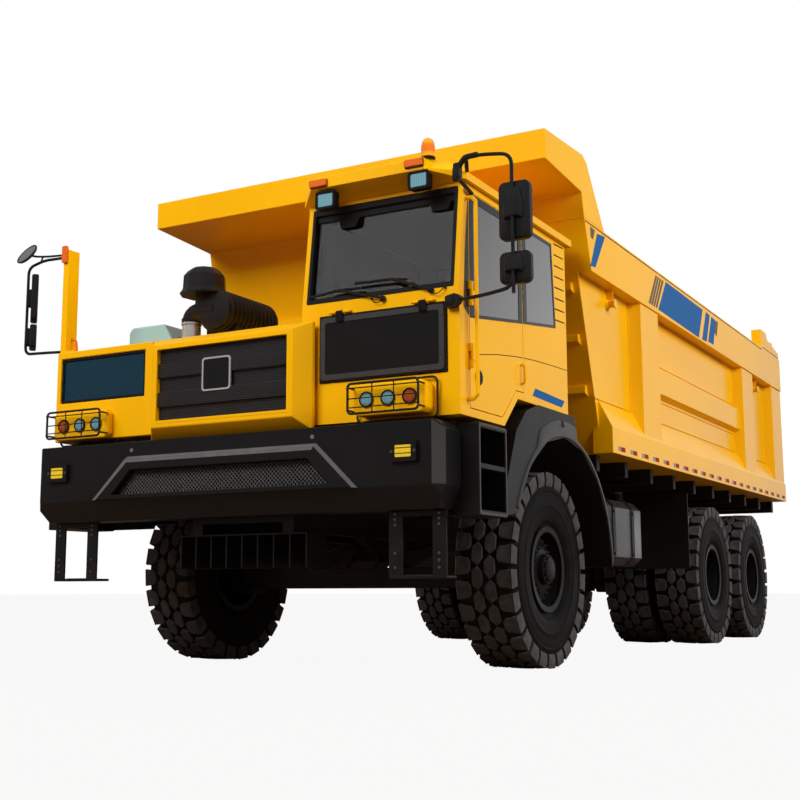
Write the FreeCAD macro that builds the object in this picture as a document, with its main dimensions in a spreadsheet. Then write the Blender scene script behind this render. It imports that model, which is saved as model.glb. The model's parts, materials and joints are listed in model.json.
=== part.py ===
import FreeCAD, Part
import math
import os
import Sketcher

# Three-axle wide-body mining dump truck with an offset cab, in millimetres.
# +X is the truck's left, its front faces -Y and +Z is up. The origin lies on the
# ground under the middle of the overall box. A station is a distance behind the
# bumper's front face, and a height is measured from the ground.

document = FreeCAD.newDocument("DumpTruck")
sheet = document.addObject("Spreadsheet::Sheet", "Sizes")


class Size:
    """A length with its present value and the sheet formula that it comes from."""

    def __init__(self, value, formula):
        self.value = value
        self.formula = formula

    def __add__(self, other):
        return combined(self, other, "+")

    def __radd__(self, other):
        return combined(other, self, "+")

    def __sub__(self, other):
        return combined(self, other, "-")

    def __rsub__(self, other):
        return combined(other, self, "-")

    def __mul__(self, other):
        return combined(self, other, "*")

    def __rmul__(self, other):
        return combined(other, self, "*")

    def __truediv__(self, other):
        return combined(self, other, "/")

    def __neg__(self):
        return combined(0, self, "-")


def as_size(thing):
    if isinstance(thing, Size):
        return thing
    return Size(float(thing), repr(float(thing)))


def combined(left, right, sign):
    a, b = as_size(left), as_size(right)
    results = {
        "+": a.value + b.value,
        "-": a.value - b.value,
        "*": a.value * b.value,
        "/": a.value / b.value if sign == "/" else 0,
    }
    return Size(results[sign], "(%s %s %s)" % (a.formula, sign, b.formula))


# Driving dimensions, each a row of the sheet further down.

# Running gear
tyre_radius = 810
tyre_width = 490
bead_radius = 330
lug_depth = 55
pitch_count = 14
rim_lip = 26
rim_wall = 22
twin_gap = 120
wheel_face = 1820
front_axle_station = 2130
rear_axle_station = 7300
bogie_spread = 1950
kingpin_half = 1210
hub_radius = 190
hub_cap_radius = 105
seat_gap = 0.3
running_gap = 8
hub_sleeve = 90
sleeve_wall = 30
beam_height = 180
beam_depth = 190
beam_drop = 60
axle_tube = 150
banjo_radius = 310
banjo_width = 300
flange_length = 40
flange_radius = 95
leaf_width = 110
leaf_pack = 150
leaf_length = 1500

# Chassis
overrun = 120
rail_half = 480
rail_wall = 100
rail_bottom = 1080
rail_top = 1500
cross_depth = 160
tip_station = 9900
tip_height = 1400
mount_rise = 200
mount_width = 130
tip_pin_radius = 60
tip_boss_radius = 130

# Bumper
bumper_half = 1896
bumper_top = 1817
bumper_face_bottom = 1360
bumper_bottom = 1200
bumper_depth = 320
bumper_undercut = 115
bumper_flat = 1820
bumper_corner = 80
bumper_trim = 60
panel_raise = 45
panel_bevel = 25
panel_top = 1696
panel_top_half = 885
panel_bottom_half = 1234
mesh_border = 110
mesh_recess = 40
plate_wall = 12
sheet_wall = 30

# Prow, grille and side housing
prow_face_half = 665
prow_back_half = 766
prow_face_bottom = 1910
prow_face_top = 2574
prow_slope = 130
deck_height = 2640
deck_rear = 2240
grille_half = 622
grille_bottom = 1960
grille_top = 2535
grille_recess = 70
housing_half = 1800
housing_front = 120
housing_window_bottom = 2200
housing_window_top = 2580
housing_border = 40

# Cab
cab_left = 1950
cab_right = 620
cab_front = 200
cab_rear = 2270
cab_bottom = 1860
cab_step = 2100
cab_step_station = 950
cab_step_run = 260
cab_top = 3580
cab_wall = 60
screen_bottom = 2790
screen_top = 3520
screen_rake = 90
screen_edge = 50
glass_wall = 12
roof_front = 90
roof_rear = 2350
roof_rise = 160
roof_lip = 60
roof_shoulder = 150
roof_overhang = 40
door_front = 360
door_rear = 1330
door_frame = 75
door_hinge_offset = 22
hinge_radius = 14
hinge_rise = 60
hinge_height_shares = (0.08, 0.42)
hatch_hinge_shares = (0.15, 0.8)
panel_gap = 6
sill_front = 2600
sill_rear = 2825
side_window_top = 3500
side_window_rear = 2000
hatch_left = 1855
hatch_right = 782
hatch_bottom = 2167
hatch_top = 2680
hatch_wall = 36
hatch_pin_radius = 12

# Lamps
lamp_inner = 1160
lamp_outer = 1750
lamp_bottom = 1875
lamp_top = 2110
lamp_front = 50
lamp_radius = 78
lamp_pitch = 176
lamp_depth = 40
lamp_corner = 35
guard_bar_count = 5
fog_place = 1615
fog_height = 1597
fog_width = 210
fog_rise = 146
beacon_radius = 54
beacon_rise = 162
guard_rod = 9
guard_stand = 45

# Steps, fenders and tanks
step_half = 2030
step_box_width = 300
step_tread = 40
ladder_front = 200
ladder_width = 460
ladder_plate = 110
ladder_wall = 20
ladder_bottom = 725
ladder_place = 1830
fender_outer = 1970
fender_inner = 1300
fender_thickness = 60
fender_foot_station = 800
fender_foot_height = 1170
fender_crown_front = 1575
fender_crown_rear = 2361
flare_inner = 1900
flare_run = 325
flare_rise = 680
arch_radius = 1085
flap_station = 6230
flap_wall = 15
tank_front = 3480
tank_rear = 4620
tank_bottom = 870
tank_top = 1500
tank_outer = 1790
tank_depth = 700
strap_width = 70
strap_rise = 8
tank_corner = 80
cap_radius = 60
cap_rise = 90
cap_station = 4380

# Deck equipment
post_place = 1860
post_station = 230
post_width = 130
post_wall = 60
post_top = 3580
canister_place = 700
canister_station = 800
canister_height = 3030
canister_radius = 190
canister_length = 760
rain_cap_radius = 215
rain_cap_height = 240
intake_radius = 75
canister_collar = 50
pipe_place = 985
rain_cap_lift = 160
coolant_place = 1400
coolant_station = 820
coolant_length = 500
coolant_depth = 300
coolant_rise = 330
mirror_tube = 17
mirror_reach = 2400
mirror_station = 130
mirror_width = 240
mirror_depth = 90
mirror_rise = 420
mirror_corner = 40
round_mirror_radius = 115
small_mirror_rise = 230
mirror_head_drop = 190
mirror_arm_rise = 840
mirror_arm_dip = 60
rail_tube = 16

# Engine and driveline
engine_half = 360
engine_front = 900
engine_rear = 2500
engine_bottom = 1200
engine_top = 2350
gearbox_half = 270
gearbox_rear = 3700
gearbox_bottom = 1000
gearbox_top = 1480
shaft_radius = 75
fin_station = 320
fin_count = 8
tube_side_count = 6
hub_side_count = 8
fin_half = 600
fin_bottom = 815
fin_depth = 260
fin_wall = 14

# Load body
bed_half = 2050
bed_front = 2520
bed_rear = 10440
bed_bottom = 1860
bed_front_rake = 660
bed_top = 3890
band_height = 450
band_depth = 190
bed_wall = 60
bed_slope_top = 2350
bed_slope_bottom = 2095
floor_wall = 90
rib_width = 690
rib_front = 4020
rib_middle = 8130
rib_taper = 60
mid_rib_bottom = 2635
mid_rib_top = 2890
canopy_front = 1630
canopy_nose_bottom = 4160
canopy_nose_top = 4420
canopy_crest = 4470
canopy_root = 3040
canopy_wall = 50
beam_half = 430
bed_beam_width = 120
cross_rib_width = 90
cross_rib_height = 150
cross_rib_count = 10
tailgate_wall = 60
tailgate_rear = 10500
tailgate_pin_height = 4010
tailgate_pin_radius = 35
tailgate_ear = 60
hinge_block_front = 9330
hinge_block_top = 4150

# Hoist
hoist_place = 600
hoist_station = 6750
hoist_bottom = 680
hoist_eye_height = 1780
barrel_radius = 100
stage_gap = 1.5
stage_wall = 12
hoist_pin_radius = 32
hoist_eye_radius = 58
stage_lip = 14


def named(rows, alias, value):
    """One driving dimension: a row of the sheet with an alias and a plain number."""
    sheet.set("A%d" % rows, alias)
    sheet.set("B%d" % rows, str(value))
    sheet.setAlias("B%d" % rows, alias)
    return Size(float(value), "Sizes." + alias)


plain_numbers = [(alias, value) for alias, value in globals().items()
                 if type(value) in (int, float) and not alias.endswith("_count")]
globals().update({alias: named(row + 1, alias, value) for row, (alias, value) in enumerate(plain_numbers)})

# Places worked out from the driving sizes
overall_nose = 0 - panel_raise
front = 0 - (tailgate_rear + overall_nose) / 2
rail_start = bumper_depth
rail_end = tip_station + tip_boss_radius
arch_top = cab_step - seat_gap
prow_bottom = bumper_top + seat_gap
bed_beam_bottom = rail_top + seat_gap
box_inner = step_half - step_box_width
step_box_rear = fender_foot_station - seat_gap


def at(station):
    """Y of a station behind the bumper's face."""
    return front + station


def bind(target, place, size):
    """Ties a property of a document object to the sheet."""
    target.setExpression(place, as_size(size).formula)


PLANES = {"XY": "XY_Plane", "XZ": "XZ_Plane", "YZ": "YZ_Plane"}


def outline_body(name, plane, level, outlines):
    """A body with one sketch of closed outlines on a plane at the given level."""
    body = document.addObject("PartDesign::Body", name)
    sketch = body.newObject("Sketcher::SketchObject", name + "_outline")
    wanted = PLANES[plane]
    base = [f for f in body.Origin.OriginFeatures if f.Role == wanted][0]
    sketch.AttachmentSupport = (base, [""])
    sketch.MapMode = "FlatFace"
    level = as_size(level)
    if plane == "XZ":
        level = 0 - level
    bind(sketch, "AttachmentOffset.Base.z", level)
    for corners in outlines:
        draw_outline(sketch, corners)
    return body, sketch


def draw_outline(sketch, corners):
    """Straight sides through corners, each held by two bound distances."""
    corners = [(as_size(a), as_size(b)) for a, b in corners]
    count = len(corners)
    first = sketch.GeometryCount
    points = [FreeCAD.Vector(a.value, b.value, 0) for a, b in corners]
    sides = []
    joins = []
    places = []
    formulas = []
    for i in range(count):
        following = (i + 1) % count
        sides.append(Part.LineSegment(points[i], points[following]))
        joins.append(Sketcher.Constraint("Coincident", first + i, 2, first + following, 1))
        for kind, size in (("DistanceX", corners[i][0]), ("DistanceY", corners[i][1])):
            places.append(Sketcher.Constraint(kind, -1, 1, first + i, 1, size.value))
            formulas.append(size.formula)
    sketch.addGeometry(sides, False)
    sketch.addConstraint(joins)
    start = sketch.ConstraintCount
    sketch.addConstraint(places)
    for i, formula in enumerate(formulas):
        sketch.setExpression("Constraints[%d]" % (start + i), formula)


def padded(name, plane, level, depth, corners, holes=()):
    """Prism on an outline, from the level towards +X, +Y or +Z, with holes through it."""
    body, sketch = outline_body(name, plane, level, [corners] + list(holes))
    pad = body.newObject("PartDesign::Pad", name + "_pad")
    pad.Profile = sketch
    pad.Reversed = plane == "XZ"
    bind(pad, "Length", depth)
    body.Tip = pad
    return body


def turned(name, corners, place):
    """Solid of revolution about X: corners are (along X, radius) and place is its centre."""
    body, sketch = outline_body(name, "XZ", 0, [corners])
    turn = body.newObject("PartDesign::Revolution", name + "_turn")
    turn.Profile = sketch
    turn.ReferenceAxis = (sketch, ["H_Axis"])
    turn.Angle = 360
    body.Tip = turn
    put(body, place)
    return body


def put(thing, place):
    for axis, size in zip("xyz", place):
        bind(thing, "Placement.Base." + axis, size)
    return thing


def block(name, x, y, z):
    """Box between pairs of coordinates."""
    box = document.addObject("Part::Box", name)
    for side, (low, high) in zip(("Length", "Width", "Height"), (x, y, z)):
        bind(box, side, as_size(high) - as_size(low))
    return put(box, (x[0], y[0], z[0]))


TURNS = {
    "X": FreeCAD.Rotation(FreeCAD.Vector(0, 1, 0), 90),
    "Y": FreeCAD.Rotation(FreeCAD.Vector(1, 0, 0), -90),
    "Z": FreeCAD.Rotation(),
}


def rod(name, axis, start, length, radius):
    """Round bar from its start towards +X, +Y or +Z."""
    bar = document.addObject("Part::Cylinder", name)
    bind(bar, "Radius", radius)
    bind(bar, "Height", length)
    bar.Placement = FreeCAD.Placement(FreeCAD.Vector(0, 0, 0), TURNS[axis])
    return put(bar, start)


def flat_bar(name, axis, start, length, radius, sides=12):
    """Many-sided bar from its start towards +X, +Y or +Z, its corners at the radius."""
    bar = document.addObject("Part::Prism", name)
    bar.Polygon = sides
    bind(bar, "Circumradius", radius)
    bind(bar, "Height", length)
    bar.Placement = FreeCAD.Placement(FreeCAD.Vector(0, 0, 0), TURNS[axis])
    return put(bar, start)


def skinned(name, rings):
    """Flat-faced solid whose sides join the like corners of one ring of points to the next."""
    rings = [[FreeCAD.Vector(*[as_size(c).value for c in corner]) for corner in ring] for ring in rings]
    faces = [Part.Face(Part.makePolygon(ring + ring[:1])) for ring in (rings[0], rings[-1])]
    for ring, following in zip(rings, rings[1:]):
        for number in range(len(ring)):
            after = (number + 1) % len(ring)
            faces.append(Part.Face(Part.makePolygon([
                ring[number], ring[after], following[after], following[number], ring[number]])))
    solid = Part.makeSolid(Part.makeShell(faces))
    if solid.Volume < 0:
        solid.reverse()
    thing = document.addObject("Part::Feature", name)
    thing.Shape = solid
    return thing


def stack(name, axis, place, rings, sides):
    """Flat-faced solid through many-sided rings, each given by (distance along the axis, radius)."""
    x, y, z = place
    corners = []
    for distance, radius in rings:
        ring = []
        for number in range(sides):
            turn = 2 * math.pi * number / sides
            along, aside = radius * math.cos(turn), radius * math.sin(turn)
            ring.append({"X": (x + distance, y + aside, z - along), "Y": (x + along, y + distance, z - aside),
                         "Z": (x + along, y + aside, z + distance)}[axis])
        corners.append(ring)
    return skinned(name, corners)


def cut_corners(low, high, bottom, top, corner):
    """Outline of a rectangle with its four corners cut off."""
    return [(low + corner, bottom), (high - corner, bottom), (high, bottom + corner), (high, top - corner),
            (high - corner, top), (low + corner, top), (low, top - corner), (low, bottom + corner)]


def placed(name, source, place):
    """The same piece standing at another place."""
    twin = document.addObject("Part::Compound", name)
    twin.Links = [source]
    return put(twin, place)


def bent_tube(name, corners, radius, bend):
    """Six-sided tube along straight runs, each corner cut off at the bend's length from it."""
    points = [FreeCAD.Vector(*[as_size(c).value for c in corner]) for corner in corners]
    bend = as_size(bend).value
    path = [points[0]]
    for before, corner, after in zip(points, points[1:], points[2:]):
        path.append(corner + (before - corner).normalize() * bend)
        path.append(corner + (after - corner).normalize() * bend)
    path.append(points[-1])
    across = (path[1] - path[0]).normalize()
    radius = as_size(radius).value
    side = across.cross(FreeCAD.Vector(1, 1, 1)).normalize()
    rise = across.cross(side)
    ring = []
    for number in range(tube_side_count + 1):
        turn = 2 * math.pi * number / tube_side_count
        ring.append(path[0] + side * (radius * math.cos(turn)) + rise * (radius * math.sin(turn)))
    tube = document.addObject("Part::Feature", name)
    tube.Shape = Part.makePolygon(path).makePipeShell([Part.makePolygon(ring)], True, True, 1)
    return tube


def strut(name, start, end, radius):
    """Round bar between two points that no axis joins."""
    start = FreeCAD.Vector(*[as_size(c).value for c in start])
    end = FreeCAD.Vector(*[as_size(c).value for c in end])
    way = end - start
    bar = document.addObject("Part::Feature", name)
    bar.Shape = Part.makeCylinder(as_size(radius).value, way.Length, start, way)
    return bar


def cut(name, base, tool):
    piece = document.addObject("Part::Cut", name)
    piece.Base = base
    piece.Tool = tool
    piece.Refine = True
    return piece


def fused(name, pieces):
    whole = document.addObject("Part::MultiFuse", name)
    whole.Shapes = pieces
    whole.Refine = True
    return whole


def gathered(name, pieces):
    """Like pieces that share a node without touching."""
    group = document.addObject("Part::Compound", name)
    group.Links = pieces
    return group


def mirrored(name, source):
    """The same piece on the truck's other side."""
    twin = document.addObject("Part::Mirroring", name)
    twin.Source = source
    twin.Base = FreeCAD.Vector(0, 0, 0)
    twin.Normal = FreeCAD.Vector(1, 0, 0)
    return twin


nodes = []


def node(label, piece):
    """Names a finished sub-part, which also names its file."""
    piece.Label = label
    nodes.append(piece)
    return piece


# Wheels: each tyre is a many-sided carcass with straight lugs, and each rim a stack of rings in it.
# A lug stands flat on the ground under the axle.
tyre_ring_shares = ((-0.40, 0), (-0.50, 0.36), (-0.475, 0.925),
                    (0.475, 0.925), (0.50, 0.36), (0.40, 0))
lug_share = 0.6
lug_width_share = 0.46
lug_corner_share = 1 / math.cos(math.pi * lug_share / pitch_count)
origin = (0, 0, 0)
tyre_rise = tyre_radius - bead_radius
carcass = stack("Carcass", "X", origin, [
    (tyre_width * a, bead_radius + tyre_rise * b) for a, b in tyre_ring_shares], pitch_count)
lug_outline = []
for number in range(pitch_count):
    for share, reach in ((-lug_share / 2, tyre_radius - lug_depth), (-lug_share / 2, tyre_radius * lug_corner_share),
                         (lug_share / 2, tyre_radius * lug_corner_share), (lug_share / 2, tyre_radius - lug_depth)):
        turn = 2 * math.pi * (number + share) / pitch_count
        lug_outline.append((reach * math.sin(turn), 0 - reach * math.cos(turn)))
lug_root = tyre_radius - lug_depth * 2
root_outline = []
for number in range(pitch_count):
    turn = 2 * math.pi * number / pitch_count
    root_outline.append((lug_root * math.sin(turn), 0 - lug_root * math.cos(turn)))
lugs = padded("TyreLugs", "YZ", 0 - tyre_width * lug_width_share, tyre_width * lug_width_share * 2,
              lug_outline, [root_outline])
tyre_bore = flat_bar("TyreBore", "X", (0 - tyre_width, 0, 0), tyre_width * 2, bead_radius, pitch_count)
one_tyre = cut("OneTyre", fused("TyreWhole", [carcass, lugs]), tyre_bore)


rim_profile_share = 0.40
disc_place_shares = {"out": 0.22, "in": -0.22}
rim_barrel = bead_radius - seat_gap
rim_seat = tyre_width * rim_profile_share + seat_gap
rim_edge = rim_seat + rim_wall
rim_deep = rim_barrel - rim_wall


def rim(name, centre, disc):
    """Barrel with two flared lips and a disc, seated in the tyre's bead."""
    x, y, z = centre
    face = tyre_width * disc_place_shares[disc]
    barrel = stack(name + "_barrel", "X", centre, [
        (0 - rim_edge, bead_radius + rim_lip), (0 - rim_seat, rim_barrel),
        (rim_seat, rim_barrel), (rim_edge, bead_radius + rim_lip)], pitch_count)
    hollows = [
        flat_bar(name + "_front", "X", (x + face + rim_wall, y, z), tyre_width, rim_deep, pitch_count),
        flat_bar(name + "_back", "X", (x + face - rim_wall - tyre_width, y, z), tyre_width, rim_deep, pitch_count)]
    return cut(name, barrel, fused(name + "_hollows", hollows))


spindle_radius = hub_cap_radius
front_wheel_centre = wheel_face - tyre_width / 2
rear_outer_centre = wheel_face - tyre_width / 2
rear_inner_centre = rear_outer_centre - tyre_width - twin_gap
axle_height = tyre_radius
front_axle = at(front_axle_station)
rear_axles = [at(rear_axle_station), at(rear_axle_station + bogie_spread)]

flat_share = 1 / math.cos(math.pi / hub_side_count)
hub_length = tyre_width / 2 - tyre_width * disc_place_shares["out"]
hub_out = tyre_width * disc_place_shares["out"]
front_centre = (front_wheel_centre, front_axle, axle_height)
sleeve_face = hub_out - rim_wall
front_sleeve = flat_bar("FrontSleeve", "X",
                        (front_wheel_centre + sleeve_face - hub_sleeve, front_axle, axle_height),
                        hub_sleeve, spindle_radius + sleeve_wall, hub_side_count)
front_bore = flat_bar("FrontBore", "X",
                      (front_wheel_centre + sleeve_face - hub_sleeve * 2, front_axle, axle_height),
                      hub_sleeve * 2, (spindle_radius + seat_gap) * flat_share, hub_side_count)
front_cap = flat_bar("FrontHub", "X", (front_wheel_centre + hub_out, front_axle, axle_height),
                     hub_length + rim_wall, hub_cap_radius, hub_side_count)
front_rim = fused("FrontRimHub", [rim("FrontRim", front_centre, "out"), front_cap,
                                  cut("FrontSleeveBored", front_sleeve, front_bore)])
node("front_rim_left", front_rim)
node("front_rim_right", mirrored("FrontRimRight", front_rim))
for side, word in ((1, "left"), (-1, "right")):
    node("front_tyre_" + word, placed("FrontTyre_" + word, one_tyre,
                                      (front_wheel_centre * side, front_axle, axle_height)))

outer_centre = (rear_outer_centre, rear_axles[0], axle_height)
inner_centre = (rear_inner_centre, rear_axles[0], axle_height)
face_out = rear_outer_centre - tyre_width * disc_place_shares["out"]
face_in = rear_inner_centre + tyre_width * disc_place_shares["out"]
drum = flat_bar("RearDrum", "X", (face_in, rear_axles[0], axle_height),
                face_out - face_in, hub_radius, hub_side_count)
rear_cap = flat_bar("RearCap", "X", (face_out, rear_axles[0], axle_height),
                    tyre_width * disc_place_shares["out"], hub_cap_radius, hub_side_count)
rear_sleeve = flat_bar("RearSleeve", "X",
                       (rear_inner_centre + sleeve_face - hub_sleeve, rear_axles[0], axle_height),
                       hub_sleeve, axle_tube + sleeve_wall, hub_side_count)
rear_bore = flat_bar("RearBore", "X",
                     (rear_inner_centre + sleeve_face - hub_sleeve * 2, rear_axles[0], axle_height),
                     hub_sleeve * 2, (axle_tube + seat_gap) * flat_share, hub_side_count)
rear_rims = fused("RearRims", [rim("RearRimOuter", outer_centre, "in"), rim("RearRimInner", inner_centre, "out"),
                               drum, rear_cap, cut("RearSleeveBored", rear_sleeve, rear_bore)])
rear_rims_right = mirrored("RearRimsRight", rear_rims)
for number, axle in enumerate(rear_axles, 1):
    for side, word, pair in ((1, "left", rear_rims), (-1, "right", rear_rims_right)):
        tag = "%d_%s" % (number, word)
        node("rear_rims_" + tag, placed("RearRims_" + tag, pair, (0, axle - rear_axles[0], 0)))
        node("rear_tyres_" + tag, gathered("RearTyres_" + tag, [
            placed("RearTyreOuter_" + tag, one_tyre, (rear_outer_centre * side, axle, axle_height)),
            placed("RearTyreInner_" + tag, one_tyre, (rear_inner_centre * side, axle, axle_height))]))

# Axles: a dropped front beam with eyes at the kingpins and two driven rear housings.
eye_radius = beam_depth / 2
beam_end = kingpin_half + eye_radius
beam_centre = axle_height - beam_drop
beam_bar = block("FrontBeam", (0 - kingpin_half, kingpin_half),
                 (front_axle - eye_radius, front_axle + eye_radius),
                 (beam_centre - beam_height / 2, beam_centre + beam_height / 2))
beam_eye = rod("BeamEye", "Z", (kingpin_half, front_axle, beam_centre - beam_height / 2), beam_height, eye_radius)
axle_parts = [fused("FrontAxle", [beam_bar, beam_eye, mirrored("BeamEyeRight", beam_eye)])]
for number, axle in enumerate(rear_axles, 1):
    tube_end = rear_inner_centre + tyre_width * disc_place_shares["out"] - rim_wall - running_gap
    tube = rod("AxleTube_%d" % number, "X", (0 - tube_end, axle, axle_height), tube_end * 2, axle_tube)
    banjo = flat_bar("Banjo_%d" % number, "X", (0 - banjo_width / 2, axle, axle_height),
                     banjo_width, banjo_radius / math.cos(math.pi / pitch_count), pitch_count)
    housing_parts = [tube, banjo]
    if number == 1:
        housing_parts.append(flat_bar("PinionFlange", "Y", (0, axle - banjo_radius - flange_length, axle_height),
                                 banjo_radius, flange_radius))
    axle_parts.append(fused("RearAxle_%d" % number, housing_parts))
node("axles", gathered("Axles", axle_parts))

# Knuckles: a kingpin carrier above and below the beam's end and a spindle into the hub.
for side, word in ((1, "left"), (-1, "right")):
    carrier_low = beam_centre - beam_height / 2 - seat_gap
    carrier_high = beam_centre + beam_height / 2 + seat_gap
    arm = beam_depth * 0.5
    inner_face = kingpin_half - arm
    spine_start = beam_end + running_gap
    spine_end = front_wheel_centre + tyre_width * disc_place_shares["out"] - rim_wall - running_gap
    ears = []
    for level, bottom, top in (("Low", carrier_low - rim_wall * 2, carrier_low),
                               ("High", carrier_high, carrier_high + rim_wall * 2)):
        low_x, high_x = (inner_face, spine_start + arm) if side > 0 else (
            0 - spine_start - arm, 0 - inner_face)
        ears.append(block("Knuckle%s_%s" % (level, word), (low_x, high_x),
                          (front_axle - arm, front_axle + arm), (bottom, top)))
    low_x, high_x = (spine_start, spine_start + arm) if side > 0 else (
        0 - spine_start - arm, 0 - spine_start)
    spine = block("KnuckleSpine_" + word, (low_x, high_x), (front_axle - arm, front_axle + arm),
                  (carrier_low, carrier_high))
    start = spine_start if side > 0 else 0 - spine_end
    spindle = rod("Spindle_" + word, "X", (start, front_axle, axle_height),
                  spine_end - spine_start, spindle_radius)
    node("steering_knuckle_" + word, fused("Knuckle_" + word, ears + [spine, spindle]))

# Frame: two deep rails with cross members and the tip pivot's brackets.
rails = block("RailLeft", (rail_half - rail_wall, rail_half), (at(rail_start), at(rail_end)),
              (rail_bottom, rail_top))
crosses = []
cross_station_shares = (0.0, 0.43, 0.62, 0.87, 0.975)
for number, share in enumerate(cross_station_shares):
    station = rail_start + (rail_end - rail_start) * share
    crosses.append(block("Cross_%d" % number, (0 - rail_half, rail_half),
                         (at(station), at(station) + cross_depth),
                         (rail_bottom + cross_depth / 2, rail_top - cross_depth / 2)))
tip_boss = flat_bar("TipBoss", "X", (rail_half - rail_wall, at(tip_station), tip_height),
                    rail_wall, tip_boss_radius)
tip_pin = rod("TipPin", "X", (0 - rail_half + rail_wall, at(tip_station), tip_height),
              (rail_half - rail_wall) * 2, tip_pin_radius)
tip_end = rod("TipEnd", "X", (rail_half, at(tip_station), tip_height),
              running_gap + sheet_wall + running_gap, tip_pin_radius)
front_beam_top = rail_top + mount_rise
mounts = [
    block("FrontOutrigger", (box_inner * -1, box_inner), (at(rail_start), at(rail_start) + cross_depth),
          (rail_top, front_beam_top)),
    block("CabFrontFoot", (cab_right + mount_width, cab_right + mount_width * 2),
          (at(rail_start), at(rail_start) + cross_depth), (front_beam_top, cab_bottom)),
    block("CabOuterFoot", (box_inner - mount_width, box_inner),
          (at(rail_start), at(rail_start) + cross_depth), (front_beam_top, cab_bottom)),
    block("HousingFoot", (0 - box_inner, mount_width - box_inner),
          (at(rail_start), at(rail_start) + cross_depth), (front_beam_top, lamp_bottom))]
rear_post = block("CabRearPost", (rail_half - rail_wall, rail_half),
                  (at(cab_rear) - cross_depth, at(cab_rear)), (rail_top, cab_step))
rear_arm = block("CabRearArm", (rail_half - rail_wall, cab_right + mount_width),
                 (at(cab_rear) - cross_depth, at(cab_rear)), (cab_step - sheet_wall * 2, cab_step))
left_mounts = [rear_post, rear_arm]
hoist_bracket = block("HoistBracket", (rail_half - rail_wall, rail_half),
                      (at(hoist_station) - cross_depth / 2, at(hoist_station) + cross_depth / 2),
                      (hoist_bottom - hoist_eye_radius, rail_bottom))
left_mounts += [hoist_bracket]
node("chassis_frame", fused("ChassisFrame", [
    rails, mirrored("RailRight", rails), tip_boss, mirrored("TipBossRight", tip_boss), tip_pin,
    tip_end, mirrored("TipEndRight", tip_end)
] + crosses + mounts + left_mounts + [mirrored(m.Name + "Right", m) for m in left_mounts]))
hoist_pin = rod("HoistPin", "X", (rail_half + seat_gap, at(hoist_station), hoist_bottom),
                hoist_place + barrel_radius - rail_half - seat_gap, hoist_pin_radius)
node("hoist_pins", gathered("HoistPins", [hoist_pin, mirrored("HoistPinRight", hoist_pin)]))

# Springs: packs over the front beam and across each pair of rear housings.
spring_low = beam_centre + beam_height / 2
leaf_step = leaf_width / 2
leaf_tip = leaf_pack / 4
front_spring = padded("FrontSpring", "YZ", rail_half - rail_wall, leaf_width, [
    (front_axle - leaf_step, spring_low), (front_axle + leaf_step, spring_low),
    (front_axle + leaf_length / 2, rail_bottom - leaf_tip), (front_axle + leaf_length / 2, rail_bottom),
    (front_axle + leaf_length / 2 - leaf_step, rail_bottom), (front_axle + leaf_step, spring_low + leaf_pack),
    (front_axle - leaf_step, spring_low + leaf_pack), (front_axle - leaf_length / 2 + leaf_step, rail_bottom),
    (front_axle - leaf_length / 2, rail_bottom), (front_axle - leaf_length / 2, rail_bottom - leaf_tip)])
rear_low = axle_height + axle_tube
bogie_middle = (rear_axles[0] + rear_axles[1]) / 2
rear_spring = padded("RearSpring", "YZ", rail_half - rail_wall, leaf_width, [
    (rear_axles[0] - leaf_width, rear_low), (rear_axles[1] + leaf_width, rear_low),
    (rear_axles[1] + leaf_width, rear_low + leaf_tip), (bogie_middle + leaf_width * 2, rail_bottom),
    (bogie_middle - leaf_width * 2, rail_bottom), (rear_axles[0] - leaf_width, rear_low + leaf_tip)])
node("springs", gathered("Springs", [front_spring, mirrored("FrontSpringRight", front_spring),
                                     rear_spring, mirrored("RearSpringRight", rear_spring)]))

# Engine and gearbox as plain masses, and the shafts behind them.
engine = block("Engine", (0 - engine_half, engine_half), (at(engine_front), at(engine_rear)),
               (engine_bottom, engine_top))
gearbox = block("Gearbox", (0 - gearbox_half, gearbox_half), (at(engine_rear), at(gearbox_rear)),
                (gearbox_bottom, gearbox_top))
rail_inner = rail_half - rail_wall
lugs = []
for number, station in enumerate((engine_front + mount_width, engine_rear - mount_width * 2)):
    lugs.append(block("EngineLug_%d" % number, (0 - rail_inner, rail_inner),
                      (at(station), at(station) + mount_width), (rail_top - mount_width, rail_top)))
node("engine_block", fused("EngineGearbox", [engine, gearbox] + lugs))
shaft_out = (gearbox_bottom + gearbox_top) / 2
tilt_share = 0.14
tilt_allowance = shaft_radius * 0.1
first_shaft = strut("FirstShaft", (0, at(gearbox_rear) + tilt_allowance, shaft_out - shaft_radius * 1.5),
                    (0, rear_axles[0] - banjo_radius - flange_length - tilt_allowance, axle_height), shaft_radius)
second_shaft = rod("SecondShaft", "Y", (0, rear_axles[0] + banjo_radius, axle_height),
                   bogie_spread - banjo_radius * 2, shaft_radius)
node("propeller_shafts", gathered("Shafts", [first_shaft, second_shaft]))

# Hanging finned guard under the nose.
fins = [block("FinTop", (0 - fin_half, fin_half), (at(fin_station), at(fin_station) + fin_depth),
              (rail_bottom - fin_wall, rail_bottom))]
for number in range(fin_count + 1):
    x = 0 - fin_half + (fin_half * 2 - fin_wall) * number / fin_count
    fins.append(block("Fin_%d" % number, (x, x + fin_wall),
                      (at(fin_station), at(fin_station) + fin_depth), (fin_bottom, rail_bottom - fin_wall)))
fins.append(block("FinBack", (0 - fin_half, fin_half),
                  (at(fin_station) + fin_depth, at(fin_station) + fin_depth + fin_wall),
                  (fin_bottom, rail_bottom)))
node("underbody_fins", fused("UnderbodyFins", fins))

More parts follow.
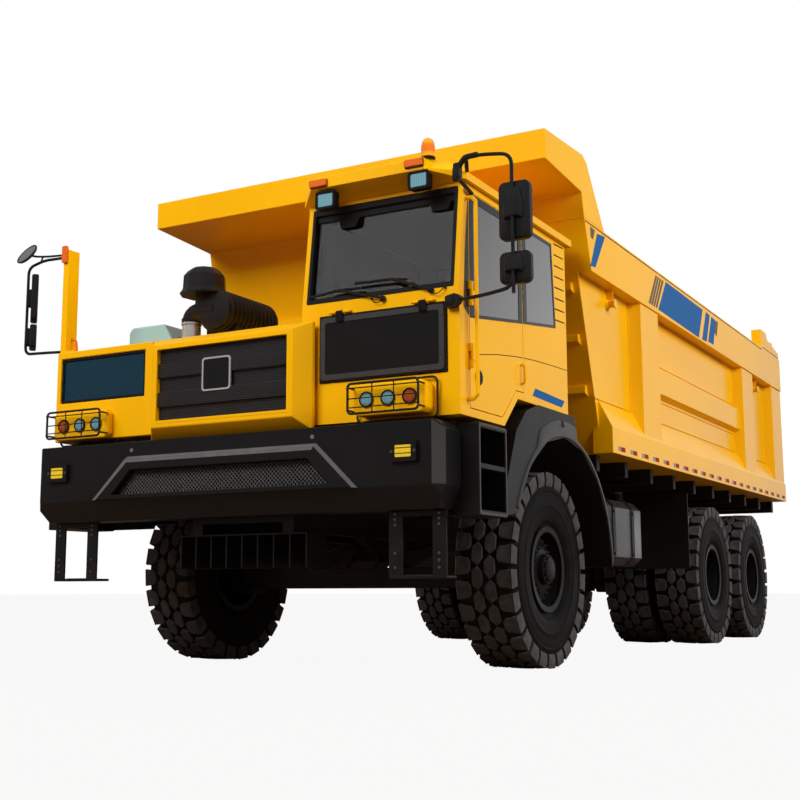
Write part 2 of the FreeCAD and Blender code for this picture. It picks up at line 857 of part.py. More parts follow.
# Bumper: a bar with bevelled ends and a raised middle panel round the mesh.
bar = padded("BumperBar", "YZ", 0 - bumper_half, bumper_half * 2, [
    (at(0), bumper_face_bottom), (at(0), bumper_top), (at(bumper_depth), bumper_top),
    (at(bumper_depth), bumper_bottom), (at(bumper_undercut), bumper_bottom)])
panel_lean = (panel_bottom_half - panel_top_half) / (panel_top - bumper_face_bottom)
panel_front_top = panel_top_half + panel_bevel * panel_lean - panel_bevel
panel = skinned("BumperPanel", [
    [(0 - panel_bottom_half, at(0), bumper_face_bottom), (panel_bottom_half, at(0), bumper_face_bottom),
     (panel_top_half, at(0), panel_top), (0 - panel_top_half, at(0), panel_top)],
    [(panel_bevel - panel_bottom_half, at(0) - panel_raise, bumper_face_bottom),
     (panel_bottom_half - panel_bevel, at(0) - panel_raise, bumper_face_bottom),
     (panel_front_top, at(0) - panel_raise, panel_top - panel_bevel),
     (0 - panel_front_top, at(0) - panel_raise, panel_top - panel_bevel)]])
mesh_outline = [
    (0 - panel_bottom_half + mesh_border * 2, bumper_face_bottom + mesh_border / 3),
    (panel_bottom_half - mesh_border * 2, bumper_face_bottom + mesh_border / 3),
    (panel_top_half - mesh_border / 2, panel_top - mesh_border),
    (0 - panel_top_half + mesh_border / 2, panel_top - mesh_border)]
mesh_pocket = padded("MeshPocket", "XZ", at(0) - panel_raise, mesh_recess + panel_raise, mesh_outline)
beyond = bumper_half + overrun
end_cuts = [
    padded("BumperCornerCut", "XY", bumper_bottom - overrun, bumper_top - bumper_bottom + overrun * 2, [
        (bumper_flat, at(0)), (bumper_flat, at(0) - overrun), (beyond, at(0) - overrun),
        (beyond, at(bumper_corner)), (bumper_half, at(bumper_corner))]),
    padded("BumperTrimCut", "XZ", at(0) - overrun, bumper_depth + overrun * 2, [
        (bumper_half - bumper_trim, bumper_top), (bumper_half, bumper_top - bumper_trim),
        (beyond, bumper_top - bumper_trim), (beyond, bumper_top + overrun),
        (bumper_half - bumper_trim, bumper_top + overrun)]),
    padded("BumperBevelCut", "XZ", at(0) - overrun, bumper_depth + overrun * 2, [
        (bumper_flat, bumper_bottom), (bumper_flat, bumper_bottom - overrun), (beyond, bumper_bottom - overrun),
        (beyond, bumper_face_bottom), (bumper_half, bumper_face_bottom)])]
end_cuts += [mirrored(piece.Name + "Right", piece) for piece in end_cuts]
bumper = cut("BumperCut", fused("BumperWhole", [bar, panel]), fused("BumperCuts", [mesh_pocket] + end_cuts))
node("bumper", bumper)

# Grilles: bumper mesh, banded main grille and the mesh window of the side housing.
bumper_mesh = padded("BumperMesh", "XZ", at(mesh_recess) - plate_wall, plate_wall, mesh_outline)
bands = []
band_count = 5
band_rise = (grille_top - grille_bottom) / band_count
for number in range(band_count):
    low = grille_bottom + band_rise * number
    lift = grille_recess * (0.75 if number % 2 else 0.35)
    bands.append(block("GrilleBand_%d" % number, (0 - grille_half, grille_half),
                       (at(grille_recess) - lift, at(grille_recess)), (low, low + band_rise)))
housing_mesh = block("HousingMesh", (0 - housing_half + housing_border, 0 - prow_back_half - housing_border * 2),
                     (at(housing_front + housing_border) - plate_wall, at(housing_front + housing_border)),
                     (housing_window_bottom, housing_window_top))
node("grilles", gathered("Grilles", [bumper_mesh, fused("MainGrille", bands), housing_mesh]))

# Prow: a tapered nose round the main grille, with the side housing and deck behind it.
slope_cuts = [
    padded("NoseTop", "YZ", 0 - prow_back_half, prow_back_half * 2, [
        (at(0) - panel_raise, deck_height + panel_raise), (at(0), prow_face_top), (at(prow_slope), deck_height),
        (at(prow_slope), deck_height + panel_raise)]),
    padded("NoseUnder", "YZ", 0 - prow_back_half, prow_back_half * 2, [
        (at(0) - panel_raise, prow_bottom - panel_raise), (at(prow_slope), prow_bottom - panel_raise),
        (at(prow_slope), prow_bottom), (at(0), prow_face_bottom)])]
for sign, word in ((1, "Left"), (-1, "Right")):
    slope_cuts.append(padded("NoseSide" + word, "XY", prow_bottom - panel_raise,
                             deck_height - prow_bottom + panel_raise * 2, [
        (prow_face_half * sign, at(0)), (prow_back_half * sign, at(prow_slope)),
        ((prow_back_half + panel_raise) * sign, at(prow_slope)),
        ((prow_back_half + panel_raise) * sign, at(0) - panel_raise),
        (prow_face_half * sign, at(0) - panel_raise)]))
nose_blank = block("NoseBlank", (0 - prow_back_half, prow_back_half), (at(0), at(prow_slope)),
                   (prow_bottom, deck_height))
nose = cut("ProwNose", nose_blank, fused("NoseCuts", slope_cuts))
nose_bulk = block("NoseBulk", (0 - prow_back_half, prow_back_half),
                  (at(prow_slope), at(cab_front) - hatch_wall), (prow_bottom, deck_height))
nose_back = block("NoseBack", (0 - prow_back_half, cab_right - panel_gap),
                  (at(cab_front) - hatch_wall, at(rail_start)), (prow_bottom, deck_height))
grille_pocket = block("GrillePocket", (0 - grille_half, grille_half),
                      (at(0) - panel_raise, at(grille_recess)), (grille_bottom, grille_top))
prow = cut("ProwCut", fused("ProwWhole", [nose, nose_bulk, nose_back]), grille_pocket)
node("prow", prow)

housing = block("SideHousing", (0 - housing_half, 0 - prow_back_half),
                (at(housing_front), at(deck_rear)), (lamp_bottom, deck_height))
housing_pocket = block("HousingPocket", (0 - housing_half + housing_border, 0 - prow_back_half - housing_border * 2),
                       (at(0), at(housing_front + housing_border)), (housing_window_bottom, housing_window_top))
arch_space = block("ArchSpace", (0 - housing_half - panel_raise, 0 - prow_back_half + panel_raise),
                   (at(fender_foot_station) + fender_thickness, at(deck_rear) + panel_raise),
                   (lamp_bottom - panel_raise, cab_step))
housing_space = block("HousingSpace", (0 - housing_half + sheet_wall, 0 - prow_back_half - sheet_wall),
                      (at(housing_front + housing_border) + sheet_wall, at(deck_rear) - sheet_wall),
                      (cab_step + sheet_wall, deck_height - sheet_wall))
housing_shell = cut("HousingCut", cut("HousingArch", cut("HousingWindow", housing, housing_pocket),
                                      arch_space), housing_space)
node("side_housing", housing_shell)

deck = block("Deck", (0 - prow_back_half, cab_right - panel_gap), (at(rail_start), at(deck_rear)),
             (deck_height - sheet_wall, deck_height))
node("engine_deck", deck)

# Lamp boxes with their lenses, and the lamps of bumper and roof.
lamp_boxes = []
lenses = []
guards = []
for side, word in ((1, "left"), (-1, "right")):
    inner, outer = lamp_inner, lamp_outer
    back = cab_front if side > 0 else housing_front
    low_x, high_x = (inner, outer) if side > 0 else (0 - outer, 0 - inner)
    lamp_boxes.append(padded("LampBox_" + word, "XZ", at(lamp_front), at(back) - at(lamp_front),
                             cut_corners(low_x, high_x, lamp_bottom, lamp_top, lamp_corner)))
    middle = (low_x + high_x) / 2
    height = (lamp_bottom + lamp_top) / 2
    for number in (-1, 0, 1):
        lenses.append(flat_bar("Lens_%s_%d" % (word, number + 1), "Y",
                               (middle + lamp_pitch * number, at(lamp_front) - lamp_depth, height),
                               lamp_depth, lamp_radius))
    guard_front = at(lamp_front) - lamp_depth - guard_stand
    guard_thick = (guard_front - guard_rod, guard_front + guard_rod)
    bars = []
    for number in range(guard_bar_count):
        level = lamp_bottom + (lamp_top - lamp_bottom - guard_rod * 2) * number / (guard_bar_count - 1)
        bars.append(block("GuardBar_%s_%d" % (word, number), (low_x + guard_rod * 2, high_x - guard_rod * 2),
                          guard_thick, (level, level + guard_rod * 2)))
    for number, x in enumerate((low_x, high_x - guard_rod * 2)):
        bars.append(block("GuardPost_%s_%d" % (word, number), (x, x + guard_rod * 2), guard_thick,
                          (lamp_bottom + guard_rod * 2, lamp_top - guard_rod * 2)))
        for end, level in enumerate((lamp_bottom + guard_rod * 2, lamp_top - guard_rod * 4)):
            bars.append(block("GuardStay_%s_%d_%d" % (word, number, end), (x, x + guard_rod * 2),
                              (guard_front, at(lamp_front)), (level, level + guard_rod * 2)))
            low_end = (x + guard_rod, x + guard_rod * 3) if number == 0 else (x - guard_rod, x + guard_rod)
            bars.append(block("GuardCorner_%s_%d_%d" % (word, number, end), low_end, guard_thick,
                              (level - guard_rod, level + guard_rod * 3)))
    guards.append(fused("Guard_" + word, bars))
    fog_x = fog_place * side
    lenses.append(block("FogLamp_" + word, (fog_x - fog_width / 2, fog_x + fog_width / 2),
                        (at(0) - lamp_depth, at(0)), (fog_height - fog_rise / 2, fog_height + fog_rise / 2)))
node("lamp_boxes", gathered("LampBoxes", lamp_boxes))
node("lamp_guards", gathered("LampGuards", guards))
beacon_across_share = 0.835
beacon_x = cab_right + (cab_left - cab_right) * beacon_across_share
roof_top = cab_top + roof_rise
beacon_place_share = 0.031
beacon_y = at(roof_front + (roof_rear - roof_front) * beacon_place_share)
lenses.append(stack("Beacon", "Z", (beacon_x, beacon_y, roof_top), [
    (0, beacon_radius), (beacon_rise * 0.6, beacon_radius), (beacon_rise * 0.85, beacon_radius * 0.8),
    (beacon_rise, beacon_radius * 0.4)], 12))
work_lamp_shares = (0.25, 0.86)
for number, share in enumerate(work_lamp_shares):
    x = cab_right + (cab_left - cab_right) * share
    lenses.append(block("WorkLamp_%d" % number, (x - lamp_radius, x + lamp_radius),
                        (at(roof_front) - lamp_depth * 2, at(roof_front)),
                        (cab_top - lamp_radius / 2, cab_top + lamp_radius)))
marker_rise = lamp_depth * 3
lenses.append(block("PostMarker", (0 - post_place - lamp_depth / 2, 0 - post_place + lamp_depth / 2),
                    (at(post_station) - lamp_depth / 2, at(post_station)),
                    (post_top - marker_rise - lamp_depth, post_top - lamp_depth)))
node("lamps", gathered("Lamps", lenses))

# Cab shell: a hollow box with its windows, door opening and hatch opening.
cab_side = [
    (at(cab_front), cab_bottom), (at(cab_front), screen_bottom),
    (at(cab_front + screen_rake), screen_top), (at(cab_front + screen_rake), cab_top),
    (at(cab_rear), cab_top), (at(cab_rear), cab_step),
    (at(cab_step_station + cab_step_run), cab_step), (at(cab_step_station), cab_bottom)]
cab_hull = padded("CabHull", "YZ", cab_right, cab_left - cab_right, cab_side)
cab_space = padded("CabSpace", "YZ", cab_right + cab_wall, cab_left - cab_right - cab_wall * 2, [
    (at(cab_front) + cab_wall, cab_bottom + cab_wall), (at(cab_front) + cab_wall, screen_bottom),
    (at(cab_front + screen_rake) + cab_wall, cab_top - cab_wall),
    (at(cab_rear) - cab_wall, cab_top - cab_wall), (at(cab_rear) - cab_wall, cab_step + cab_wall),
    (at(cab_step_station + cab_step_run) - cab_wall / 2, cab_step + cab_wall),
    (at(cab_step_station) - cab_wall / 2, cab_bottom + cab_wall)])
door_bottom = cab_bottom + cab_wall
door_step = cab_step + cab_wall
door_edge = [
    (at(door_front), door_bottom), (at(door_front), side_window_top + cab_wall / 2),
    (at(door_rear), side_window_top + cab_wall / 2), (at(door_rear), door_step),
    (at(cab_step_station + cab_step_run) - cab_wall / 2, door_step),
    (at(cab_step_station) - cab_wall / 2, door_bottom)]
door_hole = padded("DoorHole", "YZ", cab_left - overrun, overrun * 2, door_edge)
sill_slope = (sill_rear - sill_front) / (side_window_rear - door_front)


def sill(station):
    return sill_front + sill_slope * (station - door_front)


quarter_front = door_rear + door_frame
quarter_edge = [
    (at(quarter_front), sill(quarter_front)), (at(side_window_rear), sill(side_window_rear)),
    (at(side_window_rear) - cab_wall, side_window_top), (at(quarter_front), side_window_top)]
quarter_hole = padded("QuarterHole", "YZ", cab_left - overrun, overrun * 2, quarter_edge)
right_edge = [
    (at(door_front) + door_frame, sill(door_front) + cab_wall * 2),
    (at(side_window_rear), sill(side_window_rear)),
    (at(side_window_rear), side_window_top), (at(door_front) + door_frame, side_window_top)]
right_hole = padded("RightHole", "YZ", cab_right - cab_wall, overrun * 2, right_edge)
screen_hole = block("ScreenHole", (cab_right + screen_edge, cab_left - screen_edge),
                    (at(cab_front) - overrun, at(cab_front + screen_rake) + cab_wall * 1.5),
                    (screen_bottom, screen_top))
rear_hole = block("RearHole", (cab_right + screen_edge * 3, cab_left - screen_edge * 3),
                  (at(cab_rear) - overrun, at(cab_rear) + cab_wall), (sill_rear, side_window_top))
hatch_hole = block("HatchHole", (hatch_right, hatch_left),
                   (at(cab_front) - cab_wall, at(cab_front) + overrun), (hatch_bottom, hatch_top))
holes = fused("CabHoles", [cab_space, door_hole, quarter_hole, right_hole, screen_hole, rear_hole,
                           hatch_hole])
hinge_x = cab_left + door_hinge_offset
hinge_y = at(door_front)
cab_knuckles = []
for number, share in enumerate(hinge_height_shares):
    for level, lift in enumerate((0 - hinge_rise - seat_gap, hinge_rise + seat_gap)):
        height = door_step + (side_window_top - door_step) * share + lift
        cab_knuckles.append(flat_bar("CabKnuckle_%d_%d" % (number, level), "Z", (hinge_x, hinge_y, height),
                                     hinge_rise, hinge_radius, tube_side_count))
        cab_knuckles.append(block("CabLeaf_%d_%d" % (number, level), (cab_left, hinge_x),
                                  (hinge_y - panel_gap * 4, hinge_y), (height, height + hinge_rise)))
hatch_axis_y = at(cab_front) - hatch_wall / 2 - hatch_pin_radius
hatch_axis_z = hatch_top + hatch_pin_radius
for number, share in enumerate(hatch_hinge_shares):
    x = hatch_right + (hatch_left - hatch_right) * share
    for end, start in enumerate((x - hinge_rise - seat_gap, x + hinge_rise + seat_gap)):
        cab_knuckles.append(flat_bar("HatchKnuckle_%d_%d" % (number, end), "X",
                                     (start, hatch_axis_y, hatch_axis_z), hinge_rise, hatch_pin_radius,
                                     tube_side_count))
        cab_knuckles.append(block("HatchLeaf_%d_%d" % (number, end), (start, start + hinge_rise),
                                  (hatch_axis_y, at(cab_front)), (hatch_axis_z, hatch_axis_z + hatch_pin_radius)))
node("cab_shell", fused("CabShell", [cut("CabCut", cab_hull, holes)] + cab_knuckles))

# Cab roof with a visor lip over the windscreen.
roof_low = cab_right - roof_overhang
roof_high = cab_left + roof_overhang
roof = padded("CabRoof", "XZ", at(roof_front), roof_rear - roof_front, [
    (roof_low, cab_top), (roof_high, cab_top), (roof_high, cab_top + roof_lip),
    (roof_high - roof_shoulder, roof_top), (roof_low + roof_shoulder, roof_top),
    (roof_low, cab_top + roof_lip)])
node("cab_roof", roof)

# Glass: windscreen, quarter, right and rear panes held in the shell's openings.
pane_in = cab_wall / 2
screen_pane = padded("ScreenPane", "YZ", cab_right + screen_edge + seat_gap,
                     cab_left - cab_right - screen_edge * 2 - seat_gap * 2, [
    (at(cab_front) + pane_in, screen_bottom + seat_gap),
    (at(cab_front + screen_rake) + pane_in, screen_top - seat_gap),
    (at(cab_front + screen_rake) + pane_in + glass_wall, screen_top - seat_gap),
    (at(cab_front) + pane_in + glass_wall, screen_bottom + seat_gap)])


def inset(corners, amounts):
    return [(a + da, b + db) for (a, b), (da, db) in zip(corners, amounts)]


corner_inset = [(seat_gap, seat_gap), (0 - seat_gap, seat_gap), (0 - seat_gap, 0 - seat_gap),
                (seat_gap, 0 - seat_gap)]
quarter_pane = padded("QuarterPane", "YZ", cab_left - pane_in - glass_wall, glass_wall,
                      inset(quarter_edge, corner_inset))
right_pane = padded("RightPane", "YZ", cab_right + pane_in, glass_wall, inset(right_edge, corner_inset))
rear_pane = block("RearPane", (cab_right + screen_edge * 3 + seat_gap, cab_left - screen_edge * 3 - seat_gap),
                  (at(cab_rear) - pane_in - glass_wall, at(cab_rear) - pane_in),
                  (sill_rear + seat_gap, side_window_top - seat_gap))
node("cab_glass", gathered("CabGlass", [screen_pane, quarter_pane, right_pane, rear_pane]))

# Door with its window, standing in the shell's opening with a gap all round.
door_outline = [
    (at(door_front) + panel_gap, door_bottom + panel_gap),
    (at(door_front) + panel_gap, side_window_top + cab_wall / 2 - panel_gap),
    (at(door_rear) - panel_gap, side_window_top + cab_wall / 2 - panel_gap),
    (at(door_rear) - panel_gap, door_step + panel_gap),
    (at(cab_step_station + cab_step_run) - cab_wall / 2, door_step + panel_gap),
    (at(cab_step_station) - cab_wall / 2 - panel_gap, door_bottom + panel_gap)]
door_window = [
    (at(door_front) + door_frame, sill(door_front)),
    (at(door_rear) - door_frame, sill(door_rear)),
    (at(door_rear) - door_frame, side_window_top - door_frame / 2),
    (at(door_front) + door_frame, side_window_top - door_frame / 2)]
door = padded("CabDoor", "YZ", cab_left - cab_wall, cab_wall, door_outline, [door_window])
door_parts = [door]
for number, share in enumerate(hinge_height_shares):
    height = door_step + (side_window_top - door_step) * share
    door_parts.append(rod("DoorKnuckle_%d" % number, "Z", (hinge_x, hinge_y, height), hinge_rise, hinge_radius))
    door_parts.append(block("DoorLeaf_%d" % number, (cab_left, hinge_x), (hinge_y, hinge_y + door_frame),
                            (height, height + hinge_rise)))
node("cab_door", fused("CabDoorWhole", door_parts))
door_pane = padded("DoorPane", "YZ", cab_left - pane_in - glass_wall, glass_wall,
                   inset(door_window, corner_inset))
node("cab_door_glass", door_pane)

# Hatch under the windscreen, hinged along its top edge.
hatch_parts = [block("HatchPlate", (hatch_right + panel_gap, hatch_left - panel_gap),
                     (at(cab_front) - hatch_wall / 2, at(cab_front) + hatch_wall / 2),
                     (hatch_bottom + panel_gap, hatch_top - panel_gap))]
for number, share in enumerate(hatch_hinge_shares):
    x = hatch_right + (hatch_left - hatch_right) * share
    hatch_parts.append(rod("LidKnuckle_%d" % number, "X", (x, hatch_axis_y, hatch_axis_z),
                           hinge_rise, hatch_pin_radius))
    hatch_parts.append(block("LidLeaf_%d" % number, (x, x + hinge_rise),
                             (hatch_axis_y - hatch_pin_radius, at(cab_front) - hatch_wall / 2),
                             (hatch_top - hinge_rise, hatch_axis_z)))
node("hatch_lid", fused("HatchLid", hatch_parts))

# Seat and steering stand inside the cab.
seat_x = (cab_left + cab_right) / 2
floor_top = cab_step + cab_wall
seat_half = cab_wall * 4
seat_front = at(door_rear)
seat_height = floor_top + cab_wall * 5
seat = fused("Seat", [
    block("SeatBase", (seat_x - cab_wall * 2, seat_x + cab_wall * 2),
          (seat_front + cab_wall, seat_front + cab_wall * 6), (floor_top, seat_height)),
    block("SeatPad", (seat_x - seat_half, seat_x + seat_half),
          (seat_front - cab_wall, seat_front + cab_wall * 8), (seat_height, seat_height + cab_wall * 2)),
    block("SeatBack", (seat_x - seat_half, seat_x + seat_half),
          (seat_front + cab_wall * 6, seat_front + cab_wall * 8),
          (seat_height + cab_wall * 2, seat_height + cab_wall * 13))])
node("operator_seat", seat)
dash_front = at(cab_front + screen_rake) + cab_wall + running_gap
dash = block("Dash", (cab_right + cab_wall + running_gap, cab_left - cab_wall - running_gap),
             (dash_front, dash_front + cab_wall * 4),
             (cab_bottom + cab_wall, screen_bottom - cab_wall))
column = flat_bar("Column", "Z", (seat_x, dash_front + cab_wall * 5, cab_bottom + cab_wall),
                  screen_bottom - cab_bottom - cab_wall, rail_tube * 2, tube_side_count)
wheel_place = (seat_x, dash_front + cab_wall * 5, screen_bottom - rail_tube)
wheel_rim = flat_bar("WheelRim", "Z", wheel_place, rail_tube * 2, cab_wall * 3.6 + rail_tube)
wheel_gap = flat_bar("WheelGap", "Z", wheel_place, rail_tube * 3, cab_wall * 3.6 - rail_tube)
wheel = cut("SteeringWheel", wheel_rim, wheel_gap)
spoke = block("WheelSpoke", (seat_x - cab_wall * 3.6, seat_x + cab_wall * 3.6),
              (dash_front + cab_wall * 4.6, dash_front + cab_wall * 5.4),
              (screen_bottom - rail_tube / 2, screen_bottom + rail_tube / 2))
bridge = block("ColumnFoot", (seat_x - cab_wall, seat_x + cab_wall),
               (dash_front + cab_wall * 3.5, dash_front + cab_wall * 5),
               (cab_bottom + cab_wall, cab_bottom + cab_wall * 3))
node("steering_stand", fused("SteeringStand", [dash, column, wheel, spoke, bridge]))

# Steps: boxed treads behind the bumper's ends and hanging ladders below it.
step_parts = []
for side, word in ((1, "left"), (-1, "right")):
    def across(low, high):
        return (low, high) if side > 0 else (0 - high, 0 - low)

    treads = []
    box_low = step_half - step_box_width
    levels = (bumper_bottom - step_tread, (bumper_bottom + bumper_top) / 2 - step_tread / 2,
              bumper_top - step_tread)
    for number, level in enumerate(levels):
        treads.append(block("Tread_%s_%d" % (word, number), across(box_low, step_half),
                            (at(bumper_depth), at(step_box_rear)), (level, level + step_tread)))
    for number, station in enumerate((bumper_depth, step_box_rear - sheet_wall)):
        treads.append(block("TreadSide_%s_%d" % (word, number), across(box_low, step_half),
                            (at(station), at(station + sheet_wall)), (bumper_bottom - step_tread, bumper_top)))
    treads.append(block("TreadBack_" + word, across(box_low, box_low + sheet_wall),
                        (at(bumper_depth), at(step_box_rear)), (bumper_bottom - step_tread, bumper_top)))
    step_parts.append(fused("StepBox_" + word, treads))
    ladder = []
    for number, x in enumerate((ladder_place - ladder_width, ladder_place - ladder_plate)):
        ladder.append(block("LadderSide_%s_%d" % (word, number), across(x, x + ladder_plate),
                            (at(ladder_front), at(ladder_front) + ladder_wall), (ladder_bottom, bumper_bottom)))
    ladder.append(block("LadderTread_" + word, across(ladder_place - ladder_width, ladder_place),
                        (at(ladder_front), at(ladder_front) + step_tread * 4),
                        (ladder_bottom, ladder_bottom + ladder_wall)))
    ladder.append(block("LadderBar_" + word, across(ladder_place - ladder_width, ladder_place),
                        (at(ladder_front), at(ladder_front) + step_tread),
                        (bumper_bottom - step_tread, bumper_bottom)))
    step_parts.append(fused("Ladder_" + word, ladder))
node("steps", gathered("Steps", step_parts))

# Fenders: an arched shell under a boxed crown, with an outer flare round the steered wheel,
# and flaps before the bogie.
arch_turns = (-68, -45, -22, 0, 22, 45, 67, 88)
flare_turns = (16, -2, -20, -43, -68)


def arch(reach, turns):
    """Outline corners at a reach from the front wheel's centre, by degrees turned back from upright."""
    return [(at(front_axle_station) + reach * math.sin(math.radians(turn)),
             axle_height + reach * math.cos(math.radians(turn))) for turn in turns]


arch_shell = padded("ArchShell", "YZ", fender_inner, fender_outer - fender_inner,
                    arch(arch_radius, arch_turns) + arch(arch_radius + sheet_wall, reversed(arch_turns)))
foot_place = at(fender_foot_station)
flare_edge = [(foot_place, fender_foot_height), (foot_place + flare_run, fender_foot_height + flare_rise),
              (foot_place + flare_run * 1.6, arch_top - sheet_wall * 2.6),
              (at(fender_crown_front), arch_top), (at(fender_crown_rear), arch_top),
              (at(fender_crown_rear) + sheet_wall * 2.3, arch_top - flare_run * 0.7)]
flare = padded("Flare", "YZ", flare_inner, fender_outer - flare_inner, flare_edge + arch(arch_radius, flare_turns))
skin_edge = flare_edge[:4] + [(at(fender_crown_front), arch_top - sheet_wall)] + [
    (y + sheet_wall, z) for y, z in reversed(flare_edge[:3])]
front_skin = padded("FlareSkin", "YZ", fender_inner, fender_outer - fender_inner, skin_edge)
crown = block("FlareCrown", (fender_inner, fender_outer), (at(fender_crown_front), at(fender_crown_rear)),
              (arch_top - sheet_wall, arch_top))
crown_web = block("CrownWeb", (fender_inner, fender_inner + sheet_wall),
                  (at(fender_crown_front), at(fender_crown_rear)),
                  (axle_height + arch_radius, arch_top))
left_fender = fused("FenderLeft", [arch_shell, flare, front_skin, crown, crown_web])
fender_parts = [left_fender, mirrored("FenderRight", left_fender)]
left_flap = block("FlapLeft", (rear_inner_centre, wheel_face), (at(flap_station), at(flap_station) + flap_wall),
                  (tank_bottom, bed_bottom - cross_rib_height))
flap_back = at(flap_station) + flap_wall
flap_arm = block("FlapArm", (rail_half, wheel_face), (flap_back, flap_back + step_tread),
                 (rail_top - step_tread * 3, rail_top - step_tread))
left_hanger = fused("FlapHanger", [left_flap, flap_arm])
fender_parts += [left_hanger, mirrored("FlapHangerRight", left_hanger)]
node("fenders", gathered("Fenders", fender_parts))

# Tanks: fuel on the left and hydraulic oil on the right, each with two straps.
tank_inner = tank_outer - tank_depth
tank_parts = [padded("TankLeft", "XZ", at(tank_front), tank_rear - tank_front,
                     cut_corners(tank_inner, tank_outer, tank_bottom, tank_top, tank_corner))]
for number, share in enumerate((0.28, 0.76)):
    tank_parts.append(padded("TankStrap_%d" % number, "XZ",
                             at(tank_front) + (tank_rear - tank_front) * share - strap_width / 2, strap_width,
                             cut_corners(tank_inner - strap_rise, tank_outer + strap_rise, tank_bottom - strap_rise,
                                         tank_top + strap_rise, tank_corner + strap_rise / 2)))
tank_parts.append(flat_bar("TankCap", "Z", (tank_outer - tank_corner * 2, at(cap_station), tank_top),
                           cap_rise, cap_radius, 8))
shelf = block("TankShelf", (rail_half, tank_inner), (at(tank_front) + strap_width, at(tank_rear) - strap_width),
              (rail_bottom + step_tread, rail_bottom + step_tread * 4))
tank_whole = fused("TankWhole", tank_parts + [shelf])
node("side_tanks", gathered("SideTanks", [tank_whole, mirrored("TankRight", tank_whole)]))

# Deck post with its orange marker, and the grab rail beside the door.
post = block("DeckPost", (0 - post_place - post_wall / 2, 0 - post_place + post_wall / 2),
             (at(post_station), at(post_station + post_width)), (deck_height, post_top))
post_foot = block("PostFoot", (0 - post_place - post_wall / 2, 0 - housing_half + post_wall),
                  (at(post_station), at(post_station + post_width)), (deck_height, deck_height + step_tread))
rail_x = cab_left + post_wall + rail_tube
rail_y = at(door_front) - rail_tube * 2
grab = bent_tube("GrabRail", [
    (cab_left, rail_y, cab_bottom + step_tread * 3), (rail_x, rail_y, cab_bottom + step_tread * 3),
    (rail_x, rail_y, side_window_top - step_tread), (cab_left, rail_y, side_window_top - step_tread)],
    rail_tube, rail_tube * 2)
node("post_and_rail", gathered("PostAndRail", [fused("Post", [post, post_foot]), grab]))

# Air cleaner on the deck with its intake stack and rain cap, and the coolant tank.
canister_y = at(canister_station)
canister_start = (0 - canister_place, canister_y, canister_height)
canister = stack("Canister", "Y", canister_start, [
    (0, canister_radius * 0.7), (canister_collar, canister_radius), (canister_collar * 2, canister_radius),
    (canister_collar * 2.5, canister_radius * 0.9), (canister_length - canister_collar, canister_radius * 0.9),
    (canister_length, canister_radius * 0.7)], 14)
canister_leg = block("CanisterLeg", (0 - canister_place - intake_radius, 0 - canister_place + intake_radius),
                     (canister_y + intake_radius, canister_y + canister_length - intake_radius),
                     (deck_height, canister_height))
stack_x = 0 - canister_place - canister_radius
pipe_x = 0 - pipe_place
pipe_y = canister_y + intake_radius
pipe_bend = deck_height + intake_radius * 4.2
pipe = bent_tube("IntakePipe", [
    (pipe_x, pipe_y, deck_height), (pipe_x, pipe_y, pipe_bend), (0 - canister_place, pipe_y, pipe_bend)],
    intake_radius, intake_radius * 1.1)
rain_neck = flat_bar("RainNeck", "Z", (stack_x + intake_radius / 2, pipe_y, canister_height),
                     canister_radius + rain_cap_height / 2, intake_radius, 10)
rain_cap = stack("RainCap", "Z", (stack_x + intake_radius / 2, pipe_y, canister_height + rain_cap_lift), [
    (0, rain_cap_radius), (rain_cap_height * 0.12, rain_cap_radius),
    (rain_cap_height * 0.2, rain_cap_radius * 0.88),
    (rain_cap_height * 0.7, rain_cap_radius * 0.84), (rain_cap_height, rain_cap_radius * 0.5)], 12)
node("air_cleaner", fused("AirCleaner", [canister, canister_leg, pipe, rain_neck, rain_cap]))
coolant_low = 0 - coolant_place - coolant_length / 2
coolant_high = 0 - coolant_place + coolant_length / 2
coolant_top = deck_height + coolant_rise
coolant = padded("CoolantTank", "XZ", at(coolant_station), coolant_depth, [
    (coolant_low, deck_height), (coolant_high, deck_height), (coolant_high, coolant_top - coolant_rise / 2),
    (coolant_high - coolant_length / 5, coolant_top), (coolant_low + coolant_rise / 8, coolant_top),
    (coolant_low, coolant_top - coolant_rise / 8)])
node("coolant_tank", coolant)

# Mirrors on bent tubes: a main and a wide-angle head on each side.
mirror_y = at(mirror_station)
arm_top = cab_top + roof_lip / 2
arm_bottom = screen_bottom - cab_wall
arm_root = at(cab_front) + cab_wall
arm = bent_tube("MirrorArmLeft", [
    (cab_left + roof_overhang, mirror_y, arm_top), (mirror_reach, mirror_y, arm_top),
    (mirror_reach, mirror_y, arm_bottom), (cab_left + cab_wall * 2, arm_root, arm_bottom),
    (cab_left, arm_root, arm_bottom)], mirror_tube, mirror_tube * 3)


def mirror_heads(name, x, y, top, rises):
    """Mirror heads with cut corners, held on the upright of the arm."""
    heads = []
    for number, rise in enumerate(rises):
        heads.append(padded("%s_%d" % (name, number), "XZ", y, mirror_depth, cut_corners(
            x - mirror_width / 2, x + mirror_width / 2, top - rise, top, mirror_corner)))
        top = top - rise - step_tread
    return heads


